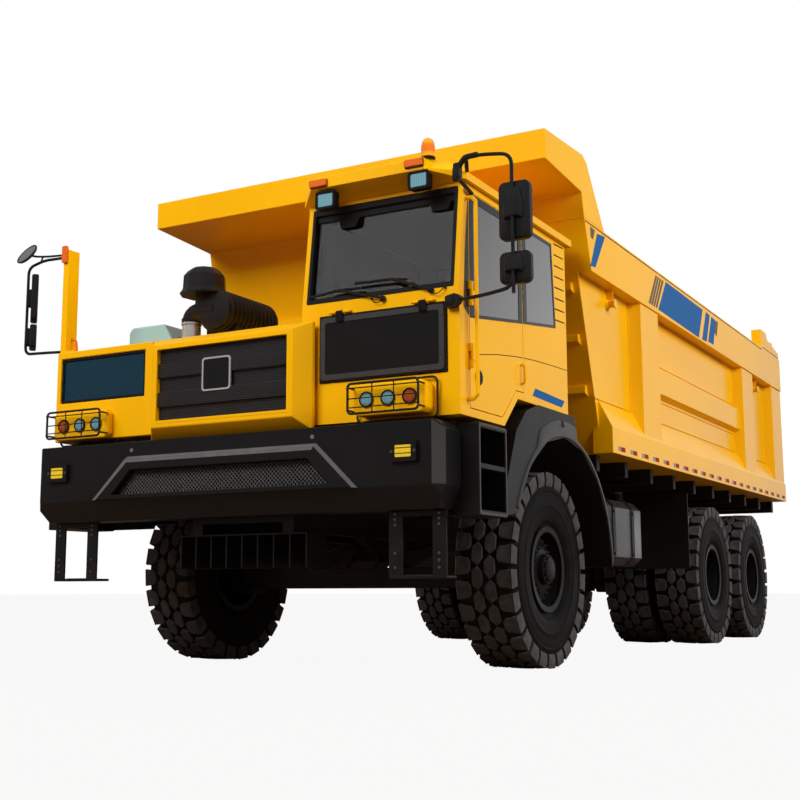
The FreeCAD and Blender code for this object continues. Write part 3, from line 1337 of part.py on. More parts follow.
left_mirrors = fused("MirrorsLeft", [arm] + mirror_heads(
    "MirrorLeft", mirror_reach, mirror_y, arm_top - mirror_head_drop, (mirror_rise, small_mirror_rise)))
post_face = 0 - post_place - post_wall / 2
post_y = at(post_station + post_width / 2)
right_x = 0 - mirror_reach
right_top = deck_height + mirror_arm_rise
right_bottom = deck_height + step_tread * 3
arm_face = post_face - mirror_tube * tilt_share
right_arm = bent_tube("MirrorArmRight", [
    (arm_face, post_y, right_top), (right_x, post_y, right_top - mirror_arm_dip),
    (right_x, post_y, right_bottom), (arm_face, post_y, right_bottom - mirror_arm_dip)],
    mirror_tube, mirror_tube * 3)
round_mirror = flat_bar("RoundMirror", "Y", (right_x, post_y - sheet_wall / 2, right_top + mirror_arm_dip),
                        sheet_wall, round_mirror_radius, 10)
right_mirrors = fused("MirrorsRight", [right_arm, round_mirror] + mirror_heads(
    "MirrorRight", right_x, post_y, right_top - mirror_arm_dip * 1.5, (mirror_rise, small_mirror_rise)))
node("mirrors", gathered("Mirrors", [left_mirrors, right_mirrors]))

# Load body: side walls with a top band, sloped foot, bottom rail and ribs, floor and headboard.
wall_in = bed_half - band_depth
side_plate = padded("BedSide", "YZ", wall_in, bed_wall, [
    (at(bed_front), bed_top), (at(bed_front + bed_front_rake), bed_bottom),
    (at(bed_rear), bed_bottom), (at(bed_rear), bed_top)])
rake_per_height = bed_front_rake / (bed_top - bed_bottom)


def front_edge(height):
    """Station of the raked front edge at a height."""
    return bed_front + (bed_top - height) * rake_per_height


band_bottom = bed_top - band_height
top_band = padded("BedBand", "YZ", wall_in, band_depth, [
    (at(bed_front), bed_top), (at(front_edge(band_bottom)), band_bottom),
    (at(bed_rear), band_bottom), (at(bed_rear), bed_top)])
foot = padded("BedFoot", "XZ", at(front_edge(bed_slope_bottom)), bed_rear - front_edge(bed_slope_bottom), [
    (wall_in, bed_bottom), (bed_half, bed_bottom), (bed_half, bed_slope_bottom),
    (wall_in + bed_wall, bed_slope_top), (wall_in, bed_slope_top)])
ribs = []
for number, station in enumerate((rib_front, rib_middle, bed_rear - rib_width + rib_taper)):
    ribs.append(padded("BedRib_%d" % number, "XY", bed_slope_bottom, band_bottom - bed_slope_bottom, [
        (wall_in, at(station)), (bed_half - rib_taper / 4, at(station + rib_taper)),
        (bed_half - rib_taper / 4, at(station + rib_width - rib_taper)),
        (wall_in, at(station + rib_width - rib_taper))]))
mid_rib = padded("BedMidRib", "XZ", at(rib_front + rib_width - rib_taper),
                 rib_middle - rib_front - rib_width + rib_taper * 2, [
    (wall_in, mid_rib_bottom - rib_taper), (bed_half - rib_taper, mid_rib_bottom),
    (bed_half - rib_taper, mid_rib_top), (wall_in, mid_rib_top + rib_taper)])
left_side = fused("BedSideWhole", [side_plate, top_band, foot, mid_rib] + ribs)
bed_floor = block("BedFloor", (0 - wall_in, wall_in), (at(bed_front + bed_front_rake), at(bed_rear)),
                  (bed_bottom, bed_bottom + floor_wall))
headboard = padded("Headboard", "YZ", 0 - wall_in, wall_in * 2, [
    (at(bed_front), bed_top), (at(bed_front + bed_front_rake), bed_bottom),
    (at(bed_front + bed_front_rake) + floor_wall, bed_bottom), (at(bed_front) + bed_wall, bed_top)])
head_ribs = []
for number, share in enumerate((0.28, 0.5, 0.72)):
    height = bed_bottom + (bed_top - bed_bottom) * share
    head_ribs.append(padded("HeadRib_%d" % number, "YZ", 0 - wall_in, wall_in * 2, [
        (at(front_edge(height)) + bed_wall / 2, height - cab_wall),
        (at(front_edge(height)) - cab_wall, height - cab_wall / 2),
        (at(front_edge(height)) - cab_wall, height + cab_wall / 2),
        (at(front_edge(height)) + bed_wall / 2, height + cab_wall)]))
gate_axis = at(bed_rear) - tailgate_wall / 2 - running_gap
gate_plate = block("GatePlate", (wall_in, wall_in + bed_wall),
                   (gate_axis - tailgate_pin_radius * 3, gate_axis + tailgate_pin_radius * 2),
                   (bed_top - bed_wall, tailgate_pin_height + tailgate_pin_radius * 2))
gate_hole = rod("GateHole", "X", (wall_in - bed_wall, gate_axis, tailgate_pin_height),
                bed_wall * 3, tailgate_pin_radius + seat_gap)
gate_bracket = cut("GateBracket", gate_plate, gate_hole)
hinge_block = padded("HingeBlock", "YZ", wall_in + bed_wall + seat_gap, band_depth - bed_wall - seat_gap, [
    (at(hinge_block_front), bed_top), (at(bed_rear) - bed_wall, bed_top),
    (at(bed_rear) - bed_wall, bed_top + bed_wall * 1.5),
    (at(hinge_block_front) + bed_wall * 6, bed_top + bed_wall * 3),
    (at(hinge_block_front) + bed_wall * 5, hinge_block_top),
    (at(hinge_block_front), hinge_block_top)])
bed_tub = fused("BedTub", [left_side, mirrored("BedSideRight", left_side), bed_floor, headboard,
                           gate_bracket, mirrored("GateBracketRight", gate_bracket),
                           hinge_block, mirrored("HingeBlockRight", hinge_block)] + head_ribs)
node("bed_tub", bed_tub)

# Canopy over the cab: a boxed visor with side gussets.
gusset = padded("CanopyGusset", "YZ", bed_half - canopy_wall, canopy_wall, [
    (at(canopy_front), canopy_nose_bottom), (at(bed_front) - canopy_wall, canopy_nose_bottom - canopy_wall),
    (at(bed_front), bed_top), (at(canopy_root), bed_top),
    (at(bed_front + canopy_wall * 2), canopy_crest - canopy_wall), (at(bed_front), canopy_crest),
    (at(canopy_front), canopy_nose_top)])
visor = padded("CanopyVisor", "YZ", 0 - bed_half + canopy_wall, bed_half * 2 - canopy_wall * 2, [
    (at(canopy_front), canopy_nose_bottom), (at(bed_front) - canopy_wall, canopy_nose_bottom - canopy_wall),
    (at(bed_front), bed_top), (at(bed_front) + bed_wall, bed_top),
    (at(bed_front) + bed_wall, canopy_crest - canopy_wall), (at(bed_front), canopy_crest),
    (at(canopy_front), canopy_nose_top)])
node("bed_canopy", fused("BedCanopy", [gusset, mirrored("GussetRight", gusset), visor]))

# Underframe of the load body: two beams with pivot bosses and cross ribs.
beam_start = at(bed_front + bed_front_rake)
bed_beam = block("BedBeam", (beam_half - bed_beam_width / 2, beam_half + bed_beam_width / 2),
                 (beam_start, at(tip_station) - tip_boss_radius * 1.5),
                 (bed_beam_bottom, bed_bottom - cross_rib_height - seat_gap))
under = [bed_beam, mirrored("BedBeamRight", bed_beam)]
span = bed_rear - bed_front - bed_front_rake - cross_rib_width
for number in range(cross_rib_count):
    y = beam_start + span * number / (cross_rib_count - 1)
    under.append(block("BedCross_%d" % number, (0 - wall_in, wall_in), (y, y + cross_rib_width),
                       (bed_bottom - cross_rib_height, bed_bottom)))
pivot_ear_x = rail_half + running_gap
pivot_plate = padded("PivotPlate", "YZ", pivot_ear_x, sheet_wall, [
    (at(tip_station) - tip_boss_radius, tip_height),
    (at(tip_station) - tip_boss_radius / 2, tip_height - tip_boss_radius),
    (at(tip_station) + tip_boss_radius / 2, tip_height - tip_boss_radius),
    (at(tip_station) + tip_boss_radius, tip_height),
    (at(tip_station) + tip_boss_radius, bed_bottom), (at(tip_station) - tip_boss_radius, bed_bottom)])
pivot_bore = rod("PivotBore", "X", (rail_half, at(tip_station), tip_height),
                 (running_gap + sheet_wall) * 2, tip_pin_radius + seat_gap)
pivot_ear = cut("PivotEar", pivot_plate, pivot_bore)
under += [pivot_ear, mirrored("PivotEarRight", pivot_ear)]
rod_radius = barrel_radius - (stage_wall + stage_gap) * 3
for number, gap in enumerate((0 - rod_radius - running_gap - sheet_wall, rod_radius + running_gap)):
    ear = block("HoistEar_%d" % number, (hoist_place + gap, hoist_place + gap + sheet_wall),
                (at(hoist_station) - hoist_eye_radius * 2, at(hoist_station) + hoist_eye_radius * 2),
                (hoist_eye_height - hoist_eye_radius, bed_bottom))
    under += [ear, mirrored("HoistEarRight_%d" % number, ear)]
node("bed_underframe", fused("BedUnderframe", under))

# Tailgate hung from two pins above the rear corners.
gate_bottom = bed_bottom + floor_wall + running_gap
gate_front = at(bed_rear) - tailgate_wall - running_gap
gate_middle = gate_front + tailgate_wall / 2
gate = block("Gate", (0 - wall_in + running_gap, wall_in - running_gap),
             (gate_front, gate_front + tailgate_wall), (gate_bottom, bed_top))
gate_ear = block("GateEar", (wall_in - running_gap - tailgate_ear, wall_in - running_gap),
                 (gate_middle - tailgate_pin_radius, gate_middle + tailgate_pin_radius),
                 (bed_top - tailgate_pin_radius, tailgate_pin_height))
gate_knuckle = flat_bar("GateKnuckle", "X",
                        (wall_in - running_gap - tailgate_ear, gate_middle, tailgate_pin_height),
                        tailgate_ear, tailgate_pin_radius * 2)
gate_pin = rod("GatePin", "X", (wall_in - running_gap, gate_middle, tailgate_pin_height),
               running_gap + bed_wall, tailgate_pin_radius)
gate_ribs = []
for number in range(5):
    x = 0 - wall_in + tailgate_ear + (wall_in * 2 - tailgate_ear * 2 - cross_rib_width) * number / 4
    gate_ribs.append(block("GateRib_%d" % number, (x, x + cross_rib_width),
                           (gate_front + tailgate_wall, gate_front + tailgate_wall * 2),
                           (gate_bottom + tailgate_ear, bed_top - tailgate_ear * 2)))
ears = [gate_ear, gate_knuckle, gate_pin]
node("tailgate", fused("Tailgate", [gate] + gate_ribs + ears + [mirrored(e.Name + "Right", e) for e in ears]))

# Hoist: twin telescopic cylinders, shown closed. Each stage is a tube inside the one before.
hoist_y = at(hoist_station)
stage_floor = hoist_bottom + hoist_eye_radius
stage_count = 4
eye_share = 0.7
hoist_names = ("hoist_barrels", "hoist_stage_1", "hoist_stage_2", "hoist_rods")
for number, label in enumerate(hoist_names):
    outside = barrel_radius - (stage_wall + stage_gap) * number
    low = stage_floor + stage_lip * number
    high = hoist_eye_height - hoist_eye_radius - stage_lip * (stage_count - number)
    parts = [flat_bar("HoistTube_%d" % number, "Z", (hoist_place, hoist_y, low), high - low, outside)]
    if number < stage_count - 1:
        bore = flat_bar("HoistBore_%d" % number, "Z", (hoist_place, hoist_y, low + stage_lip - seat_gap),
                        high - low + stage_lip, outside - stage_wall)
        parts = [cut("HoistSleeve_%d" % number, parts[0], bore)]
    if number == 0:
        foot = flat_bar("HoistFoot", "X", (hoist_place - rod_radius, hoist_y, hoist_bottom),
                        rod_radius * 2, hoist_eye_radius + stage_lip)
        foot_bore = rod("HoistFootBore", "X", (hoist_place - barrel_radius, hoist_y, hoist_bottom),
                        barrel_radius * 2, hoist_pin_radius + seat_gap)
        parts.append(foot)
        whole = cut("HoistBarrel", fused("HoistBarrelWhole", parts), foot_bore)
    elif number == stage_count - 1:
        eye = flat_bar("HoistEye", "X", (hoist_place - rod_radius * eye_share, hoist_y, hoist_eye_height),
                       rod_radius * eye_share * 2, hoist_eye_radius)
        neck = flat_bar("HoistNeck", "Z", (hoist_place, hoist_y, high), hoist_eye_height - high, outside)
        whole = fused("HoistRod", parts + [neck, eye])
    else:
        whole = parts[0]
    node(label, gathered(label + "_pair", [whole, mirrored(label + "_right", whole)]))

document.recompute()
failed = [o.Name for o in document.Objects if "Invalid" in o.State or "Error" in o.State]
for piece in nodes:
    shape = piece.Shape
    if shape.isNull() or not shape.isValid():
        failed.append(piece.Label)
if failed:
    raise RuntimeError("failed: " + ", ".join(failed))

os.makedirs("parts", exist_ok=True)
for piece in nodes:
    piece.Shape.exportStep("parts/" + piece.Label + ".step")
    box = piece.Shape.BoundBox
    print("%-24s solids %2d  x %7.0f %7.0f  y %7.0f %7.0f  z %6.0f %6.0f" % (
        piece.Label, len(piece.Shape.Solids), box.XMin, box.XMax, box.YMin, box.YMax, box.ZMin, box.ZMax))
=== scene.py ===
import json
import math

import bmesh
import bpy
import numpy as np
from mathutils import Matrix, Vector

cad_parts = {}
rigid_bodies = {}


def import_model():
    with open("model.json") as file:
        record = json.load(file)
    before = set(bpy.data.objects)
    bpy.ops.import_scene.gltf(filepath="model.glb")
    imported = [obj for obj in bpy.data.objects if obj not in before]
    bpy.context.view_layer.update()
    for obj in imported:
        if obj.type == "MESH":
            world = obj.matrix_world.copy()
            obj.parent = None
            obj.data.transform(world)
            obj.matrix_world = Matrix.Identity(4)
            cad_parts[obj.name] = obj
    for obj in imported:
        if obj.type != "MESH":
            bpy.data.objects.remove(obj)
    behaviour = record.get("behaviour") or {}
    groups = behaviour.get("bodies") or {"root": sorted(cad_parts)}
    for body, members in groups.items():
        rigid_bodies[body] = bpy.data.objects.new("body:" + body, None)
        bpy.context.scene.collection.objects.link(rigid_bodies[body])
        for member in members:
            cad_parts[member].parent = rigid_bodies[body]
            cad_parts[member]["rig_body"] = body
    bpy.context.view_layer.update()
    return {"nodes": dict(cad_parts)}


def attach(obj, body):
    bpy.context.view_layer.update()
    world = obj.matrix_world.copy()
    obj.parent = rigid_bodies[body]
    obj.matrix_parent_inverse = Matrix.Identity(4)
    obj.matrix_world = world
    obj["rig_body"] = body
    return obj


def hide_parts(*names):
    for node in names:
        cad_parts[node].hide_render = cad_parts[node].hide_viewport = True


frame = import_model()
cad_nodes = frame["nodes"]

# Studio: a plain pale floor under a pale sky, lit by large soft lamps at a plain level.
# The camera stands low before the truck's left front corner, as in the photograph.
camera_place = Vector((5.679, -12.6315, 0.651))
camera_yaw, camera_pitch, camera_roll = 0.5058, 0.1534, -0.0034
forward = Vector((
    -math.sin(camera_yaw) * math.cos(camera_pitch),
    math.cos(camera_yaw) * math.cos(camera_pitch),
    math.sin(camera_pitch),
))
level = Vector((math.cos(camera_yaw), math.sin(camera_yaw), 0.0))
upward = level.cross(forward)
right = level * math.cos(camera_roll) + upward * math.sin(camera_roll)
above = upward * math.cos(camera_roll) - level * math.sin(camera_roll)
lens = bpy.data.cameras.new("photo_camera")
lens.lens = 55.09
lens.sensor_width = 36.0
lens.clip_end = 400.0
camera = bpy.data.objects.new("photo_camera", lens)
turn = Matrix((right, above, -forward)).transposed().to_4x4()
camera.matrix_world = Matrix.Translation(camera_place) @ turn
bpy.context.scene.collection.objects.link(camera)
bpy.context.scene.camera = camera
bpy.context.scene.view_settings.view_transform = "Standard"


class Sock:
    """An output in a node tree. Arithmetic on it, from either side, adds Math nodes."""

    def __init__(self, nodes, socket):
        self.nodes = nodes
        self.socket = socket

    def math(self, operation, *values):
        return self.nodes.node("ShaderNodeMath", {"operation": operation}, dict(enumerate(values)))

    def __add__(self, other):
        return self.math("ADD", self, other)

    def __radd__(self, other):
        return self.math("ADD", other, self)

    def __sub__(self, other):
        return self.math("SUBTRACT", self, other)

    def __rsub__(self, other):
        return self.math("SUBTRACT", other, self)

    def __mul__(self, other):
        return self.math("MULTIPLY", self, other)

    def __rmul__(self, other):
        return self.math("MULTIPLY", other, self)

    def __truediv__(self, other):
        return self.math("DIVIDE", self, other)

    def fract(self):
        return self.math("FRACT", self)

    def size(self):
        return self.math("ABSOLUTE", self)

    def over(self, edge):
        return self.math("GREATER_THAN", self, edge)

    def most(self, other):
        return self.math("MAXIMUM", self, other)

    def step(self, low, high):
        """Rises smoothly from 0 at low to 1 at high."""
        settings = {"interpolation_type": "SMOOTHSTEP"}
        return self.nodes.node("ShaderNodeMapRange", settings, {0: self, 1: low, 2: high})


class Nodes:
    """A node tree being built: node() adds any node and gives one of its outputs."""

    def __init__(self, tree):
        self.tree = tree

    def feed(self, socket, value):
        if isinstance(value, Sock):
            self.tree.links.new(value.socket, socket)
        elif socket.type == "RGBA":
            socket.default_value = (*value, 1.0)
        else:
            socket.default_value = value

    def node(self, kind, settings, inputs, out=0):
        made = self.tree.nodes.new(kind)
        for key, value in settings.items():
            setattr(made, key, value)
        for key, value in inputs.items():
            self.feed(made.inputs[key], value)
        return Sock(self, made.outputs[out])


class Finish(Nodes):
    """A material being made: paint() feeds the shader's sockets."""

    def __init__(self, name):
        self.material = bpy.data.materials.new(name)
        self.material.use_nodes = True
        super().__init__(self.material.node_tree)
        self.shader = self.tree.nodes["Principled BSDF"]
        self.place = self.node("ShaderNodeTexCoord", {}, {}, "Object")
        split = self.node("ShaderNodeSeparateXYZ", {}, {0: self.place})
        self.x, self.y, self.z = [Sock(self, s) for s in split.socket.node.outputs]

    def noise(self, scale, detail=3.0, stretch=(1.0, 1.0, 1.0)):
        place = self.node("ShaderNodeMapping", {}, {0: self.place, 3: stretch})
        return self.node("ShaderNodeTexNoise", {}, {"Vector": place, "Scale": scale, "Detail": detail})

    def mix(self, factor, first, second):
        inputs = {0: factor, 6: first, 7: second}
        return self.node("ShaderNodeMix", {"data_type": "RGBA"}, inputs, 2)

    def bump(self, height, depth, strength=1.0, under=None):
        inputs = {"Height": height, "Distance": depth, "Strength": strength}
        if under is not None:
            inputs["Normal"] = under
        return self.node("ShaderNodeBump", {}, inputs)

    def paint(self, **sockets):
        for key, value in sockets.items():
            self.feed(self.shader.inputs[key.replace("_", " ")], value)


def two_tone(name, patch, first, second, rough, grain=None, detail=3.0, **sockets):
    """A finish in patches of two tones: patch is the scale of their noise, rough the scale, spread
    and least value of the roughness, and grain the scale, depth and strength of the bumps."""
    made = Finish(name)
    rough_scale, spread, least = rough
    made.paint(
        Base_Color=made.mix(made.noise(patch, detail), first, second),
        Roughness=made.noise(rough_scale) * spread + least,
        **sockets,
    )
    if grain:
        grain_scale, depth, strength = grain
        made.paint(Normal=made.bump(made.noise(grain_scale), depth, strength))
    return made


# The sky's plain light is dimmer and warmer than what the camera, mirrors and glass see of it,
# and in mirrors the sky darkens away from +Y, as in a hall.
world = bpy.data.worlds.new("pale_sky")
world.use_nodes = True
bpy.context.scene.world = world
sky = Nodes(world.node_tree)
glossy = sky.node("ShaderNodeLightPath", {}, {}, "Is Glossy Ray")
rays = glossy.socket.node.outputs
seen = Sock(sky, rays["Is Camera Ray"]).most(glossy).most(Sock(sky, rays["Is Transmission Ray"]))
strength = sky.node("ShaderNodeMapRange", {}, {"Value": seen, "To Min": 0.2, "To Max": 1.0})
way = sky.node("ShaderNodeTexCoord", {}, {}, "Generated")
hall = sky.node("ShaderNodeMapRange", {"interpolation_type": "SMOOTHSTEP"}, {
    "Value": sky.node("ShaderNodeSeparateXYZ", {}, {0: way}, "Y"),
    "From Min": 0.8, "From Max": 1.0, "To Min": 0.22, "To Max": 1.0,
})
dim = sky.node("ShaderNodeMix", {"data_type": "FLOAT"}, {0: glossy, 2: 1.0, 3: hall})
tints = {0: seen, 6: (1.0, 0.6, 0.34), 7: (1.0, 1.0, 1.0)}
background = sky.tree.nodes["Background"]
sky.feed(background.inputs["Color"], sky.node("ShaderNodeMix", {"data_type": "RGBA"}, tints, 2))
sky.feed(background.inputs["Strength"], strength * dim)


def soft_lamp(name, place, aim, width, height, power):
    """A rectangular lamp aimed at a point, which mirrors don't show."""
    data = bpy.data.lights.new(name, "AREA")
    data.shape = "RECTANGLE"
    data.size = width
    data.size_y = height
    data.energy = power
    lamp = bpy.data.objects.new(name, data)
    lamp.location = place
    lamp.rotation_euler = (Vector(aim) - Vector(place)).to_track_quat("-Z", "Y").to_euler()
    lamp.visible_glossy = False
    bpy.context.scene.collection.objects.link(lamp)


soft_lamp("front_lamp", (-3.0, -17.0, 11.0), (0.0, -3.0, 2.0), 12.0, 7.0, 2300.0)
soft_lamp("side_lamp", (16.0, -3.0, 9.0), (0.5, -0.5, 2.2), 14.0, 7.0, 2450.0)
soft_lamp("top_lamp", (0.0, 2.0, 15.0), (0.0, 0.0, 2.0), 12.0, 12.0, 700.0)
floor_finish = Finish("pale_floor")
floor_seen = floor_finish.node("ShaderNodeLightPath", {}, {}, "Is Camera Ray")
floor_glow = floor_finish.node("ShaderNodeEmission", {}, {"Color": (1, 1, 1), "Strength": 1.0})
floor_plain = floor_finish.node("ShaderNodeBsdfDiffuse", {}, {"Color": (0.2, 0.14, 0.1)})
floor_mix = floor_finish.node("ShaderNodeMixShader", {},
                              {0: floor_seen * 0.93, 1: floor_plain, 2: floor_glow})
floor_out = floor_finish.tree.nodes["Material Output"]
floor_finish.tree.links.new(floor_mix.socket, floor_out.inputs["Surface"])
floor_mesh = bpy.data.meshes.new("floor")
floor_half = 150.0
floor_corners = floor_half * np.array([(-1, -1, 0), (1, -1, 0), (1, 1, 0), (-1, 1, 0)], float)
floor_mesh.from_pydata(floor_corners.tolist(), [], [(0, 1, 2, 3)])
floor_mesh.materials.append(floor_finish.material)
floor = bpy.data.objects.new("floor", floor_mesh)
bpy.context.scene.collection.objects.link(floor)

# Points of one mesh that lie closer than this, in metres, are welded.
same_point = 0.00002


class Shape:
    """Grids of points gathered into one mesh."""

    def __init__(self):
        self.points = []
        self.faces = []
        self.total = 0

    def grid(self, points, ring=False):
        """Joins closed rows of points; ring joins the last row to the first, else both are capped."""
        points = np.asarray(points, float)
        rows, columns = points.shape[:2]
        index = np.arange(rows * columns).reshape(rows, columns) + self.total
        ends = [index[0][::-1].tolist(), index[-1].tolist()]
        index = np.concatenate([index, index[:, :1]], axis=1)
        if ring:
            index = np.concatenate([index, index[:1]], axis=0)
        corners = [index[:-1, :-1], index[:-1, 1:], index[1:, 1:], index[1:, :-1]]
        self.faces += np.stack(corners, axis=-1).reshape(-1, 4).tolist()
        if not ring:
            self.faces += ends
        self.points.append(points.reshape(-1, 3))
        self.total += rows * columns

    def copies(self, points, faces):
        """Many like small solids: points is (copies, corners, 3) and faces index one of them."""
        count, corners = points.shape[:2]
        shift = self.total + corners * np.arange(count)
        for face in faces:
            self.faces += (np.array(face)[None, :] + shift[:, None]).tolist()
        self.points.append(points.reshape(-1, 3))
        self.total += count * corners

    def box(self, low, high):
        """A rectangle carried straight from one corner's height to the other's."""
        low, high = np.array(low, float), np.array(high, float)
        ring = np.array([(0, 0), (1, 0), (1, 1), (0, 1)], float)
        flat = low[:2] + ring * (high - low)[:2]
        rows = [np.column_stack([flat, np.full(4, z)]) for z in (low[2], high[2])]
        self.grid(np.stack(rows))

    def slab(self, plane, outline, low, high):
        """An outline (u, v) on a plane, filled from one height over it to another."""
        self.grid(np.array([raised(plane, outline, w) for w in (low, high)]))

    def border(self, plane, outer, inner, low, high):
        """The band between two like outlines on a plane, from one height to another."""
        corners = ((outer, low), (outer, high), (inner, high), (inner, low))
        self.grid(np.stack([raised(plane, outline, w) for outline, w in corners], axis=1), ring=True)

    def tube(self, path, radius, sides, bend=0.0):
        """A round bar along a path whose inner corners are bent."""
        self.grid(carried(circle(radius, sides), rounded(path, bend)))

    def lathe(self, profile, centre, axis, steps, start=0.0):
        """A profile turned about an axis."""
        self.grid(turned(profile, centre, axis, steps, start), ring=True)

    def mirror(self):
        """Adds the same shapes on the truck's other side."""
        points = np.concatenate(self.points)
        faces = [[corner + self.total for corner in face[::-1]] for face in self.faces]
        self.points.append(points * (-1.0, 1.0, 1.0))
        self.faces += faces
        self.total *= 2
        return self

    def make(self, name, finish, body, edge=0.0, smooth=35.0, segments=2):
        """The piece: its mesh with shared corners and outward faces, placed on its body."""
        mesh = bpy.data.meshes.new(name)
        mesh.from_pydata(np.concatenate(self.points).tolist(), [], self.faces)
        work = bmesh.new()
        work.from_mesh(mesh)
        bmesh.ops.remove_doubles(work, verts=work.verts, dist=same_point)
        bmesh.ops.recalc_face_normals(work, faces=work.faces)
        work.to_mesh(mesh)
        work.free()
        return placed(name, mesh, finish, body, edge, smooth, segments)


def placed(name, mesh, finish, body, edge, smooth, segments):
    """Gives a mesh its finish, its smooth faces, its rounded edges and the body it rides on."""
    mesh.materials.clear()
    mesh.materials.append(finish.material)
    mesh.shade_smooth()
    mesh.set_sharp_from_angle(angle=math.radians(smooth))
    piece = bpy.data.objects.new(name, mesh)
    bpy.context.scene.collection.objects.link(piece)
    if edge:
        bevel = piece.modifiers.new("edge", "BEVEL")
        bevel.width = edge
        bevel.segments = segments
        bevel.limit_method = "ANGLE"
        bevel.angle_limit = math.radians(smooth)
        bevel.harden_normals = True
        bevel.use_clamp_overlap = True
    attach(piece, body)
    return piece


def dressed(node, finish, edge, smooth=35.0, segments=2):
    """The CAD node's own surface with whole flat faces and rounded edges, shown in its stead.
    Faces are kept apart at the middle plane, so that a ring of them isn't filled in."""
    work = bmesh.new()
    work.from_mesh(cad_nodes[node].data)
    bmesh.ops.remove_doubles(work, verts=work.verts, dist=same_point)
    halves = bmesh.ops.bisect_plane(work, geom=list(work.verts) + list(work.edges) + list(work.faces),
                                    plane_co=(0.0, 0.0, 0.0), plane_no=(1.0, 0.0, 0.0))
    for part in halves["geom_cut"]:
        if isinstance(part, bmesh.types.BMEdge):
            part.seam = True
    bmesh.ops.dissolve_limit(work, angle_limit=0.01, verts=work.verts, edges=work.edges, delimit={"SEAM"})
    mesh = bpy.data.meshes.new(node + "_dressed")
    work.to_mesh(mesh)
    work.free()
    piece = placed(node + "_dressed", mesh, finish, cad_nodes[node]["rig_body"], edge, smooth, segments)
    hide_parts(node)


def on(plane, points):
    """Points (u, v, w) over a plane go to origin + u * across + v * up + w * (across x up)."""
    origin, across, up = [np.array(part, float) for part in plane]
    basis = np.stack([across, up, np.cross(across, up)])
    return np.asarray(points, float) @ basis + origin


def raised(plane, outline, height):
    """An outline (u, v) on a plane, at a height over it."""
    return on(plane, np.column_stack([outline, np.full(len(outline), height)]))


bumper_front = -5.2275


def y_of(station):
    """Y of a distance behind the bumper's front face."""
    return station + bumper_front


def rectangle(low, high, corner=0.0, steps=5):
    """Outline of a rectangle from low to high whose corners are quarter circles."""
    (a, b), (c, d) = low, high
    if not corner:
        return np.array([(a, b), (c, b), (c, d), (a, d)], float)
    centres = [(c - corner, b + corner, -90), (c - corner, d - corner, 0),
               (a + corner, d - corner, 90), (a + corner, b + corner, 180)]
    turns = np.linspace(0, 90, steps)
    return np.array([
        (u + corner * math.cos(math.radians(t + turn)), v + corner * math.sin(math.radians(t + turn)))
        for u, v, t in centres for turn in turns
    ])


# The side plane has (station, height) with +X out of it; the front plane (x, height) with -Y.
LEFT = ((0, bumper_front, 0), (0, 1, 0), (0, 0, 1))
FRONT = ((0, 0, 0), (1, 0, 0), (0, 0, 1))


def circle(radius, sides):
    """Points radius * (cos a, sin a) at equal angles a."""
    angle = 2 * math.pi * np.arange(sides) / sides
    return radius * np.column_stack([np.cos(angle), np.sin(angle)])


def unit(ways):
    """Ways scaled to length 1."""
    return ways / np.linalg.norm(ways, axis=-1, keepdims=True)


def rounded(path, bend, steps=6):
    """Each inner corner of a path becomes a curve between points bend before and after it."""
    path = np.asarray(path, float)
    if not bend:
        return path
    parts = [path[:1]]
    share = np.linspace(0.0, 1.0, steps + 1)[:, None]
    for before, corner, after in zip(path, path[1:], path[2:]):
        start = corner + unit(before - corner) * bend
        end = corner + unit(after - corner) * bend
        parts.append((1 - share) ** 2 * start + 2 * share * (1 - share) * corner + share ** 2 * end)
    return np.concatenate(parts + [path[-1:]])


def carried(profile, path):
    """Rows are path point + u * side + v * rise for the profile's (u, v), mitred at corners."""
    path = np.asarray(path, float)
    runs = unit(np.diff(path, axis=0))
    into = np.concatenate([runs[:1], runs])
    way = unit(into + np.concatenate([runs, runs[-1:]]))
    seed = np.array((0.31, 0.23, 0.92)) if abs(way[0, 2]) < 0.8 else np.array((0.9, 0.3, 0.1))
    side = np.cross(way, seed)
    for number in range(1, len(way)):
        last = side[number - 1]
        side[number] = last - way[number] * np.dot(last, way[number])
    side = unit(side - way * np.sum(side * way, axis=1, keepdims=True))
    rise = np.cross(way, side)
    stretch = 1.0 / np.sum(way * into, axis=1)
    profile = np.asarray(profile, float)
    across = profile[None, :, 0, None] * side[:, None, :]
    up = profile[None, :, 1, None] * (rise * stretch[:, None])[:, None, :]
    return path[:, None, :] + across + up


AXES = {"x": (0, 1, 2), "y": (1, 2, 0), "z": (2, 0, 1)}


def turned(profile, centre, axis, steps, start=0.0):
    """Each profile point (along, radius) goes round the axis: radius * (cos a, sin a) across it."""
    profile = np.asarray(profile, float)
    angle = start + 2 * math.pi * np.arange(steps)[:, None] / steps
    points = np.zeros((steps, len(profile), 3))
    along, first, second = AXES[axis]
    points[:, :, along] = profile[None, :, 0]
    points[:, :, first] = profile[None, :, 1] * np.cos(angle)
    points[:, :, second] = profile[None, :, 1] * np.sin(angle)
    return points + np.asarray(centre, float)


